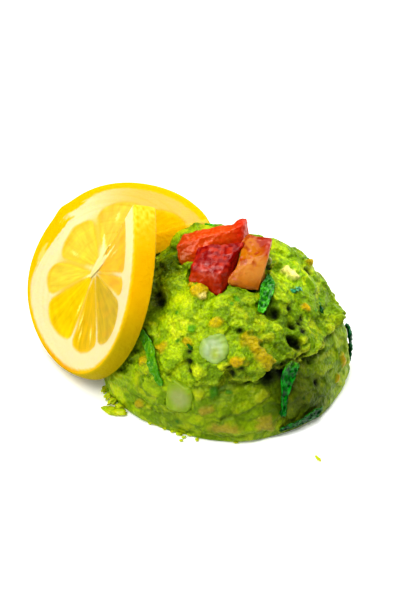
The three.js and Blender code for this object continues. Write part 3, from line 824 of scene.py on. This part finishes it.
def lemon_shell(slice_):
    """A subdivided cube, bent to the slice: x runs round it, y outwards and z through it."""
    bm = bmesh.new()
    bmesh.ops.create_cube(bm, size=2)
    for axis, cells in enumerate(LEMON_CELLS):
        edges = [e for e in bm.edges if abs((e.verts[0].co - e.verts[1].co)[axis]) > 1.5]
        bmesh.ops.subdivide_edges(bm, edges=edges, cuts=cells - 1, use_grid_fill=True)
    tint = bm.verts.layers.float_color.new("tint")
    juice = bm.verts.layers.float.new("juice")
    plan = bm.verts.layers.float_vector.new("plan")
    for vert in bm.verts:
        degrees, ring, side = (vert.co.x + 1) * 180, (vert.co.y + 1) / 2, (vert.co.z + 1) / 2
        at_slit = degrees < 0.01 or degrees > 359.99
        on_rind = ring > 0.999
        colour, juicy, sink = lemon_face(slice_, degrees, ring, round(side))
        if on_rind:
            colour, juicy = lemon_rind(degrees, side), 0.0
        # The slit's cut side at the back lies in shade and is brightened with painted light.
        elif at_slit and degrees > 180 and side > 0:
            colour = blend(*SLIT_END_PAINTED_LIGHT, ramp(0.76, 0.84, ring))
        cut_face = side < 0.001 or side > 0.999
        round_off = 0.3 * ramp(0.985, 1, ring)
        vert[tint] = (*colour, 1)
        vert[juice] = juicy * (not at_slit)
        vert[plan] = (degrees / 360, ring, round(side))
        vert.co = slice_.place(degrees, ring, side, (sink + round_off) if cut_face else 0) * MM
    bmesh.ops.remove_doubles(bm, verts=bm.verts, dist=LEMON_WELD_MM * MM)
    bmesh.ops.recalc_face_normals(bm, faces=bm.faces)
    return bm


def lemon_strand(slice_):
    """The strand of pith that closes the gap between the slit's two ends at the core."""
    bm = bmesh.new()
    first, last = STRAND
    start = slice_.place(*first, 0)
    end = slice_.place(*last, 0)
    _, _, behind, _ = slice_.radius_at(last[0])
    along = (end - start).normalized()
    across = along.cross(behind).normalized()
    middle = (start + end) / 2 + behind * STRAND_SINK
    halves = ((end - start).length / 2 + STRAND_HALF, STRAND_HALF, 0.3)
    add_bit(bm, middle, (along, across, along.cross(across)), halves, 0.4)
    paint(bm, lambda point, normal: linear(STRAND_TONE))
    return bm


def lemon_material():
    """Cut lemon: waxy zest, dry pith and juicy vesicles that let light through."""
    material, add = new_material("cut lemon")
    place = add("TexCoord").outputs["Object"]
    tint = add("Attribute", attribute_name="tint")
    juice = add("Attribute", attribute_name="juice").outputs["Fac"]
    plan = add("Attribute", attribute_name="plan").outputs["Vector"]
    # Juice vesicles lie along the radii: about 5 degrees wide and 6 mm long.
    spread = {0: plan, 1: (360 / 5, LEMON_RADIUS / 6, 9)}
    vesicle_place = add("VectorMath", spread, operation="MULTIPLY")
    vesicles = add("TexNoise", {"Vector": vesicle_place, "Scale": 1.0, "Detail": 3})
    # From 0 on pith and zest to the vesicles' own pattern in the pulp.
    streak = add("Math", {0: vesicles, 1: juice}, operation="MULTIPLY")
    ends = {"From Min": 0.35, "From Max": 0.75, "To Min": 1, "To Max": 1.3}
    shine = add("MapRange", {"Value": streak, **ends})
    colour = add("VectorMath", {0: tint, "Scale": shine}, operation="SCALE")
    # Oil glands of the zest, about 1.1 mm apart, and the fine weave of the pith.
    pores = add("TexVoronoi", {"Vector": place, "Scale": 1 / (1.1 * MM)})
    weave = add("TexNoise", {"Vector": place, "Scale": 1 / (0.7 * MM), "Detail": 3})
    dry = add("Math", {0: pores, 1: weave}, operation="ADD")
    height = add("Mix", {0: juice, 2: dry, 3: vesicles}, data_type="FLOAT")
    bump = add("Bump", {"Height": height, "Strength": 0.4, "Distance": 0.3 * MM})
    # Wet pulp shines, dry pith doesn't.
    roughness = add("MapRange", {"Value": juice, "To Min": 0.5, "To Max": 0.2})
    # Light goes in 3 mm, and comes out yellow.
    look = (1.12, 0.45, (1.0, 0.75, 0.15), 3.0)
    add_shader(add, colour, roughness, bump, look)
    return material


# ---- Tomato, onion and cilantro, each on its solid ----


def paint(bm, colour_at):
    """Gives every point of a bmesh its colour, from its place in millimetres and its normal."""
    bm.normal_update()
    tint = bm.verts.layers.float_color.new("tint")
    for vert in bm.verts:
        vert[tint] = (*colour_at(vert.co / MM, vert.normal), 1)


def ruffle(bm, layers):
    """Moves every point along its normal by layers of noise, each a size and height in mm."""
    bm.normal_update()
    moves = []
    for vert in bm.verts:
        point = vert.co / MM
        move = sum(height * ripple(point / size + Vector((size, 3, 1))) for size, height in layers)
        moves.append(vert.normal * move * MM)
    for vert, move in zip(bm.verts, moves):
        vert.co += move


# Wet surfaces: roughness, how deep light goes in and size of the grain in millimetres, relief, coat.
WET_FLESH = {
    # Juicy and glassy.
    "cut tomato": (0.28, 2.0, 0.8, 0.6, 0.2),
    # Milky, with a dull shine.
    "raw onion": (0.4, 2.5, 1.2, 0.4, 0.1),
    # Thin, with a glossy, veined skin.
    "cilantro leaf": (0.25, 0.3, 0.6, 0.7, 0.3),
    # Soft and grainy.
    "mash crumb": (0.4, 0.8, 0.4, 0.5, 0.1),
}


def wet_flesh(name):
    """A wet vegetable's surface in the piece's own colours: light goes in, and its coat shines."""
    roughness, depth_mm, grain_mm, relief, coat = WET_FLESH[name]
    material, add = new_material(name)
    place = add("TexCoord").outputs["Object"]
    tint = add("Attribute", attribute_name="tint")
    grain = add("TexNoise", {"Vector": place, "Scale": 1 / (grain_mm * MM), "Detail": 3})
    bump = add("Bump", {"Height": grain, "Strength": relief, "Distance": 0.25 * MM})
    # Red light goes in furthest.
    look = (1.3, 0.4, (1.0, 0.5, 0.3), depth_mm)
    add_shader(add, tint, roughness, bump, look, {"Coat Weight": coat, "Coat Roughness": 0.08})
    return material


TOMATO_RIPE = ("#bc4c05", "#d05208")
TOMATO_PALE_GRAIN = "#e08a4c"
TOMATO_RED = "#cc3206"
TOMATO_DEEP = "#a00c02"
TOMATO_LOW = "#a85c04"
TOMATO_BLOTCH = "#cc5c22"
TOMATO_TIP_HIGHLIGHT = "#c86a50"
CORE_FLESH = ("#b2400a", "#9c2c04")
CORE_GEL = ("#8c0a04", "#b43418")
CORE_GLINT = "#efb0a6"
FLESH_WITH_PAINTED_SHADE = ("#ce9044", "#ae6a10")
FLESH_RIGHT = "#b6541e"
FLESH_TOP = ("#bc7404", "#a42c0a")
FLESH_SKIN = "#960e04"
FLESH_GEL_GLINT = "#cc8070"
ONION = ("#8c9e62", "#b8caa8")
ONION_EDGE = "#96b040"
ONION_SMEAR = "#a0b020"
BURIED_ONION = ("#8e9850", "#9aa566")
BURIED_EDGE = "#86a012"


def tomato_wall_colour(point, normal):
    """The outer wall of the fruit: orange where it is thick, deep red towards the seeds."""
    low = 1 - ramp(38.5, 42.5, point.z - 0.12 * (point.x + 4))
    blotch = 0.5 + 0.5 * ripple(point / 2.2)
    grain = ramp(0.1, 0.5, ripple(point / 0.8))
    return coated(
        blend(*TOMATO_RIPE, ramp(-12, -4, point.x + 3 * blotch)),
        (TOMATO_PALE_GRAIN, 0.28 * grain * (1 - low)),
        (TOMATO_RED, ramp(0, 5, point.x)),
        (TOMATO_DEEP, low * ramp(-10, -3, point.x)),
        (TOMATO_LOW, low * (1 - ramp(-11, -8, point.x)) * 0.9),
        (TOMATO_BLOTCH, 0.5 * ramp(0.5, 0.9, blotch) * (1 - low)),
        # A painted pink highlight at the top right corner.
        (TOMATO_TIP_HIGHLIGHT, 0.4 * ramp(3.5, 6, point.x) * ramp(43, 45, point.z)),
    )


# The wet gel by the seeds, where painted highlights in rings show: middle and reach in millimetres.
# Painted highlight rings round the seeds: middle, radius and width in millimetres.
CORE_GLINT_AREA = (Vector((-6.4, -14, 41.3)), 3.2)
CORE_GLINTS = [
    (Vector((-7.0, -14.2, 41.0)), 1.8, 0.45),
    (Vector((-2.2, -14.8, 40.6)), 0.8, 0.35),
]


def tomato_core_colour(point, normal):
    """The seed side: dark gel above with painted highlights in rings on it, flesh in front."""
    gel = ramp(38.4, 39.8, point.z + 0.25 * (point.y + 14))
    flesh = blend(*CORE_FLESH, ramp(-8, -1, point.x))
    jelly = blend(*CORE_GEL, ramp(-0.3, 0.4, ripple(point / 1.5)))
    middle, reach = CORE_GLINT_AREA
    wet = bell((point - middle).length, reach)
    # Painted highlights in rings on the wet gel.
    ring = 0.5 * bell(ripple(point / 1.6 + Vector((3, 3, 3))) - 0.12, 0.13) * wet
    for middle, radius, width in CORE_GLINTS:
        away = (point - middle).length + 0.4 * ripple(point / 0.9)
        ring = max(ring, bell(away - radius, width))
    return blend(flesh, blend(jelly, CORE_GLINT, 0.9 * min(1, ring)), gel)


def tomato_flesh_colour(point, normal):
    """A cut face of pale flesh, darkened towards its bottom as painted shade, with seeds, skin and
    painted highlights on the wet gel on top.
    """
    # Painted shade darkens the cut face towards its bottom.
    shade = 1 - ramp(35.2, 39.5, point.z)
    flesh = blend(blend(*FLESH_WITH_PAINTED_SHADE, shade), FLESH_RIGHT, ramp(9.5, 11.8, point.x) * 0.8)
    jelly = coated(
        blend(*FLESH_TOP, ramp(4, 9, point.x + 0.3 * point.y)),
        (FLESH_SKIN, 0.55 * ramp(0.0, 0.3, ripple(point / 1.6 + Vector((7, 7, 7))))),
        # Pale pink flecks of painted highlight on the wet seed gel.
        (FLESH_GEL_GLINT, 0.6 * ramp(0.25, 0.5, ripple(point / 1.4))),
    )
    return blend(flesh, jelly, ramp(0.35, 0.7, normal.z))


# The onion's fronts: middle to the right and up, half width and half height, in millimetres. Then the
# middle of the smear of mash on the bare one.
ONION_FRONT = (-3.7, 24.6, 3.9, 3.9)
BURIED_FRONT = (-12.6, 11.4, 3.8, 4.1)
SMEAR_AT = (-3.2, 23.9)


def off_middle(point, x, z, wide, high):
    """How far a point is from the middle of a die's front: 1 at its edge."""
    return math.hypot((point.x - x) / wide, (point.z - z) / high)


def onion_colour(point, normal):
    """Translucent white, green at its edges where the mash shows through."""
    streak = 0.5 + 0.5 * ripple(Vector((point.x / 0.9, point.y / 2.5, point.z / 2.5)))
    cloud = 0.5 + 0.5 * ripple(point / 1.6 + Vector((5, 5, 5)))
    edge = off_middle(point, *ONION_FRONT) + 0.25 * cloud
    x, z = SMEAR_AT
    smear = bell(math.hypot(point.x - x, (point.z - z) * 0.8), 1.0 + 0.5 * streak)
    white = blend(*ONION, 0.5 * streak + 0.5 * cloud)
    return coated(white, (ONION_EDGE, 0.75 * ramp(0.5, 1.0, edge)), (ONION_SMEAR, 0.8 * smear))


def buried_onion_colour(point, normal):
    """Onion under a film of mash."""
    edge = ramp(0.3, 0.95, off_middle(point, *BURIED_FRONT))
    white = blend(*BURIED_ONION, 0.5 + 0.5 * ripple(point / 2.4))
    return blend(white, BURIED_EDGE, 0.95 * edge)


# Each piece: name, its solid, its colours, layers of unevenness, and corners drawn out: place in the
# view, reach, and way right and up in millimetres.
TOMATO_DICE = [
    (
        "tomato_wall", "tomato_1", tomato_wall_colour,
        [(3.5, 0.5), (1.3, 0.2), (0.7, 0.08)],
        [(242, 222, 2.4, -0.3, 1.3)],
    ),
    (
        "tomato_core", "tomato_2", tomato_core_colour,
        [(3, 0.45), (1.3, 0.18), (0.7, 0.05)],
        [(236, 248, 2.6, 1.5, 0.6), (236, 262, 2.4, -0.3, 0)],
    ),
    (
        "tomato_flesh", "tomato_3", tomato_flesh_colour,
        [(4, 0.4), (1.4, 0.14)],
        [
            (270, 262, 3, -1.3, 0), (245, 244, 2.4, -0.9, 0.2),
            (266, 278, 2.5, -0.8, 0.3), (234, 281, 2.6, -1.2, 0),
        ],
    ),
]
ONION_DICE = [
    (
        "onion_dice", "onion_1", onion_colour,
        [(3.2, 0.7), (1.3, 0.25)],
        [(203, 338, 3, 1, -0.6), (205, 356, 3, 0.9, -0.2), (216, 361, 3, 0, -0.7)],
    ),
    (
        "onion_buried", "onion_2", buried_onion_colour,
        [(3.2, 0.6), (1.3, 0.2)],
        [(166, 385, 3.5, 0.6, -1.3), (190, 385, 3.5, -0.3, -1.3)],
    ),
]
# How wide the small faces of the dice are, in millimetres.
DICE_VOXEL_MM = 0.23
# Small bits pressed on the mash: place in the view, length and width in millimetres, turn in degrees,
# and dark and light colour.
ONION_BITS = [(267.5, 263, 3.0, 1.9, 75, "#8fa048", "#b4c48a")]
LEAF_BITS = [
    # The two teal bits are dark leaf, and their light colour is partly painted highlight.
    (293, 291, 2.8, 1.1, 5, "#0a5c34", "#5cb886"),
    (299, 289, 2.6, 1.3, 35, "#0c6a3c", "#8cd0a0"),
    (321, 309, 3.2, 1.2, -55, "#06500c", "#1c7c2a"),
    (264, 285, 2.6, 1.2, 70, "#021c06", "#0c4014"),
    (313.5, 413, 2.4, 1.2, 60, "#a8b010", "#d0d028"),
    (211, 225, 3.6, 1.1, 12, "#3c9c0c", "#66c41c"),
    (190, 347, 2.4, 0.8, -50, "#2c6c08", "#5c9c10"),
]
# How thick they are, in millimetres.
ONION_BIT_MM = 1.2
LEAF_BIT_MM = 0.9
# Leaves: dark and light green, and the colours of the low and the high end.
LEAVES = {
    "cilantro_1": ("#0c6410", "#5cc012", "#64cc12", "#1c5434"),
    "cilantro_2": ("#01480a", "#06a012", "#04801c", "#7ea41c"),
    "cilantro_3": ("#428604", "#74a604", "#448c04", "#529c08"),
    "cilantro_4": ("#04401c", "#1c7c48", "#044424", "#188044"),
    "cilantro_5": ("#02400e", "#1c781c", "#033a0c", "#2c6c14"),
}
LEAF_CRINKLE_MM = 0.5
# Leaves laid anew, in millimetres: way right at the foot and the head, and way down at the head.
LEAF_LEANS = {"cilantro_4": (-0.9, 1.0, 1.4)}


def dress_dice(rows, material, slot, softness):
    """Dice on their solids, each with its corners drawn out and its surface uneven."""
    for name, node, colour_at, layers, corners in rows:
        bm = remeshed([copy_of_node(node)], DICE_VOXEL_MM)
        pull(bm, corners)
        soften(bm, softness)
        ruffle(bm, layers)
        paint(bm, colour_at)
        finish_piece(name, bm, material, slot, node)


def dress_leaf(node, tones, material):
    """A leaf on its solid, crinkled so that both its faces move together."""
    bm = copy_of_node(node)
    bmesh.ops.subdivide_edges(bm, edges=bm.edges, cuts=3, use_grid_fill=True, smooth=0.6)
    middle = sum((vert.co for vert in bm.verts), Vector()) / len(bm.verts)
    outward = Vector((middle.x, middle.y, 0.4 * middle.z)).normalized()
    for vert in bm.verts:
        wave = ripple(vert.co / (1.3 * MM)) + 0.6 * ripple(vert.co / (0.6 * MM))
        vert.co += outward * LEAF_CRINKLE_MM * MM * wave
    dark, light, low, high = tones
    foot = min(vert.co.z for vert in bm.verts) / MM
    head = max(vert.co.z for vert in bm.verts) / MM
    at_foot, at_head, down = LEAF_LEANS.get(node, (0, 0, 0))
    for vert in bm.verts:
        rise = (vert.co.z / MM - foot) / (head - foot)
        vert.co.x += (at_foot + (at_head - at_foot) * rise ** 2) * MM
        vert.co.z -= down * rise * MM

    def colour_at(point, normal):
        vein = 0.5 + 0.5 * ripple(Vector((point.x / 0.7, point.y / 0.7, point.z / 2.2)))
        rise = (point.z - foot) / (head - foot)
        return coated(
            blend(dark, light, ramp(0.25, 0.85, vein)),
            (low, 0.7 * vein * (1 - ramp(0.05, 0.45, rise))),
            (high, vein * ramp(0.78, 0.98, rise)),
        )

    paint(bm, colour_at)
    finish_piece("leaf_" + node, bm, material, "cilantro", node)


def pressed_bits(bits, thickness_mm):
    """Small flat bits that lie on the mash."""
    surface = surface_of("mash")
    bm = bmesh.new()
    tint = bm.verts.layers.float_color.new("tint")
    _, right, _ = camera_axes()
    for x, y, length, width, turn, dark, light in bits:
        place, normal = surface.under(x, y)
        aside = (right - normal * right.dot(normal)).normalized()
        spin = Matrix.Rotation(math.radians(turn), 3, normal)
        axes = (spin @ aside, spin @ normal.cross(aside), normal)
        halves = (length / 2, width / 2, thickness_mm / 2)
        for vert in add_bit(bm, place / MM, axes, halves, 0.7):
            vein = 0.5 + 0.5 * ripple(vert.co / (0.8 * MM))
            vert[tint] = (*blend(dark, light, ramp(0.3, 0.75, vein)), 1)
    return bm


# ---- Crumbs ----

# Crumbs on the table: place in the view, length, width and height in millimetres, turn in degrees.
CRUMBS = [
    (173, 432, 1.5, 0.9, 0.5, 10), (179, 435, 1.9, 1.2, 0.6, -20), (184, 438, 1.3, 0.8, 0.5, 40),
    (190, 436, 1.7, 1, 0.7, 0), (197, 440, 1.5, 0.9, 0.5, 70), (181, 441, 1, 0.8, 0.4, 0),
    (208, 439, 1.1, 0.8, 0.5, 0), (236, 443, 1.2, 0.7, 0.4, 0), (318, 459, 2.6, 0.9, 0.3, -50),
    (112, 412, 5.2, 2.8, 0.8, -28), (119, 414, 4.4, 2.6, 1.2, 5), (107, 409, 2.6, 1.4, 0.7, 20),
    (106, 391, 3.4, 1.8, 1.4, 60), (109, 398, 3.6, 2, 1.6, 50), (113, 404, 3.4, 2, 1.6, 50),
    (122, 408, 3.6, 1.8, 1.4, 40), (151, 424, 1.6, 1, 0.7, 0), (166, 429, 1.5, 1, 0.7, 20),
]
CRUMB_TONE = "#c8d024"


def table_point(x, y):
    """The point of the table, in millimetres, that shows at a point of the view."""
    place, way = view_ray(x, y)
    return place + way * (-place.z / way.z)


def crumb_pieces(seed):
    """The crumbs, each turned a little at random and set down on the table."""
    rng = random.Random(seed)
    bm = bmesh.new()
    for x, y, length, width, height, turn in CRUMBS:
        axes = axes_on(Vector((0, 0, 1)), turn + rng.uniform(-10, 10))
        middle = table_point(x, y) + Vector((0, 0, height / 2))
        verts = add_bit(bm, middle, axes, (length / 2, width / 2, height / 2), 0.7)
        low = min(vert.co.z for vert in verts)
        for vert in verts:
            vert.co.z -= low
    paint(bm, lambda point, normal: blend(CRUMB_TONE, MASH_GREEN, 0.4 + 0.4 * ripple(point / 1.5)))
    return bm


# ---- The stage ----

WHITE = (1, 1, 1, 1)
LACQUER_WHITE = (0.93, 0.93, 0.94, 1)
# In metres.
FLOOR_REACH = 3.0
FLOOR_HEIGHT = -0.0002
LIGHT_DISTANCE = 0.8
LIGHT_AIM = Vector((0, 0, 0.02))

# Soft lights: name, height and heading in degrees, width in metres and power in watts.
STUDIO_LIGHTS = [
    ("key", 65, 240, 0.6, 3.8), ("fill", 40, 220, 0.6, 2.1),
    ("back", 65, 60, 0.9, 3.6), ("rim", 20, 30, 0.8, 2.0),
]


def stage_floor():
    """White lacquer, which glows a little so that it stays as bright as the light round it."""
    bm = bmesh.new()
    bmesh.ops.create_grid(bm, x_segments=2, y_segments=2, size=FLOOR_REACH)
    floor = put_in_scene("table_top", mesh_of(bm, "table_top"))
    floor.location.z = FLOOR_HEIGHT
    material, add = new_material("white lacquer")
    look = {
        "Base Color": LACQUER_WHITE,
        "Roughness": 0.6,
        "Emission Color": WHITE,
        "Emission Strength": 0.12,
    }
    add("OutputMaterial", {"Surface": add("BsdfPrincipled", look)})
    floor.data.materials.append(material)


def area_light(name, height, heading, size, power):
    """A round soft light: its height and heading over the table in degrees, and its width in metres."""
    data = bpy.data.lights.new(name, "AREA")
    data.shape = "DISK"
    data.size = size
    data.energy = power
    lamp = put_in_scene(name, data)
    rise, turn = math.radians(height), math.radians(heading)
    way = Vector((math.cos(rise) * math.cos(turn), math.cos(rise) * math.sin(turn), math.sin(rise)))
    lamp.location = LIGHT_AIM + way * LIGHT_DISTANCE
    lamp.rotation_euler = way.to_track_quat("Z", "Y").to_euler()


def stage_camera():
    """The camera, tilted down at the helping."""
    data = bpy.data.cameras.new("camera")
    data.lens = LENS_MM
    data.sensor_width = SENSOR_MM
    camera = put_in_scene("camera", data)
    camera.location = (CAMERA_AIM_MM + camera_axes()[0] * CAMERA_DISTANCE_MM) * MM
    camera.rotation_euler = (math.radians(90 - CAMERA_TILT), 0, 0)
    bpy.context.scene.camera = camera


def stage_world(strength):
    """Even white light from all round."""
    world = bpy.data.worlds.new("studio")
    world.use_nodes = True
    world.node_tree.nodes.clear()
    add = partial(add_node, world.node_tree)
    sky = add("Background", {"Color": WHITE, "Strength": strength})
    add("OutputWorld", {"Surface": sky})
    bpy.context.scene.world = world


# ---- The add-on ----


class HelpingSettings(PropertyGroup):
    coarseness: FloatProperty(
        name="Coarseness", description="How rough the mash is", default=1.0, min=0, max=2
    )
    seed: IntProperty(name="Seed", description="Picks another scatter of crumbs", default=7)
    light: FloatProperty(
        name="Light", description="Strength of the studio's even light", default=0.04, min=0
    )


class GUAC_OT_mash(Operator):
    """Makes the mash with its lumps and pits"""

    bl_idname = "guac.mash"
    bl_label = "Mash"

    def execute(self, context):
        mash = Mash(context.scene.guac_helping.coarseness)
        finish_piece("mash", mash.shape(), mash_material(), "guacamole", "guacamole")
        return {"FINISHED"}


class GUAC_OT_lemon(Operator):
    """Makes the bent lemon slice"""

    bl_idname = "guac.lemon"
    bl_label = "Lemon slice"

    def execute(self, context):
        slice_ = LemonSlice()
        material = lemon_material()
        finish_piece("lemon_wheel", lemon_shell(slice_), material, "lemon", "lemon_slice")
        finish_piece("lemon_core", lemon_strand(slice_), material, "lemon")
        return {"FINISHED"}


class GUAC_OT_tomato(Operator):
    """Makes the diced tomato on top"""

    bl_idname = "guac.tomato"
    bl_label = "Tomato"

    def execute(self, context):
        material = wet_flesh("cut tomato")
        dress_dice(TOMATO_DICE, material, "tomato", softness=3)
        return {"FINISHED"}


class GUAC_OT_onion(Operator):
    """Makes the onion dice in the mash"""

    bl_idname = "guac.onion"
    bl_label = "Onion"

    def execute(self, context):
        material = wet_flesh("raw onion")
        dress_dice(ONION_DICE, material, "onion", softness=14)
        finish_piece("onion_bits", pressed_bits(ONION_BITS, ONION_BIT_MM), material, "onion")
        return {"FINISHED"}


class GUAC_OT_cilantro(Operator):
    """Makes the cilantro leaves"""

    bl_idname = "guac.cilantro"
    bl_label = "Cilantro"

    def execute(self, context):
        material = wet_flesh("cilantro leaf")
        for node, tones in LEAVES.items():
            dress_leaf(node, tones, material)
        finish_piece("leaf_bits", pressed_bits(LEAF_BITS, LEAF_BIT_MM), material, "cilantro")
        return {"FINISHED"}


class GUAC_OT_crumbs(Operator):
    """Drops crumbs of mash on the table"""

    bl_idname = "guac.crumbs"
    bl_label = "Crumbs"

    def execute(self, context):
        material = wet_flesh("mash crumb")
        bm = crumb_pieces(context.scene.guac_helping.seed)
        finish_piece("crumbs", bm, material, "guacamole")
        return {"FINISHED"}


class GUAC_OT_stage(Operator):
    """Sets the table top, the lights and the camera"""

    bl_idname = "guac.stage"
    bl_label = "Stage"

    def execute(self, context):
        stage_camera()
        stage_floor()
        stage_world(context.scene.guac_helping.light)
        for name, height, heading, size, power in STUDIO_LIGHTS:
            area_light(name, height, heading, size, power)
        context.scene.view_settings.view_transform = "Standard"
        context.scene.view_settings.look = "High Contrast"
        return {"FINISHED"}


class GUAC_PT_panel(Panel):
    """Lists the pieces of the helping"""

    bl_idname = "GUAC_PT_panel"
    bl_label = "Guacamole"
    bl_space_type = "VIEW_3D"
    bl_region_type = "UI"
    bl_category = "Guacamole"

    def draw(self, context):
        settings = context.scene.guac_helping
        for name in HelpingSettings.__annotations__:
            self.layout.prop(settings, name)
        for operator in OPERATORS:
            self.layout.operator(operator.bl_idname)


OPERATORS = (
    GUAC_OT_mash,
    GUAC_OT_lemon,
    GUAC_OT_tomato,
    GUAC_OT_onion,
    GUAC_OT_cilantro,
    GUAC_OT_crumbs,
    GUAC_OT_stage,
)


def register():
    for cls in (HelpingSettings, *OPERATORS, GUAC_PT_panel):
        bpy.utils.register_class(cls)
    bpy.types.Scene.guac_helping = PointerProperty(type=HelpingSettings)


def unregister():
    del bpy.types.Scene.guac_helping
    for cls in reversed((HelpingSettings, *OPERATORS, GUAC_PT_panel)):
        bpy.utils.unregister_class(cls)


def main():
    register()
    bpy.ops.guac.mash()
    bpy.ops.guac.lemon()
    bpy.ops.guac.tomato()
    bpy.ops.guac.onion()
    bpy.ops.guac.cilantro()
    bpy.ops.guac.crumbs()
    bpy.ops.guac.stage()


if __name__ == "__main__":
    main()
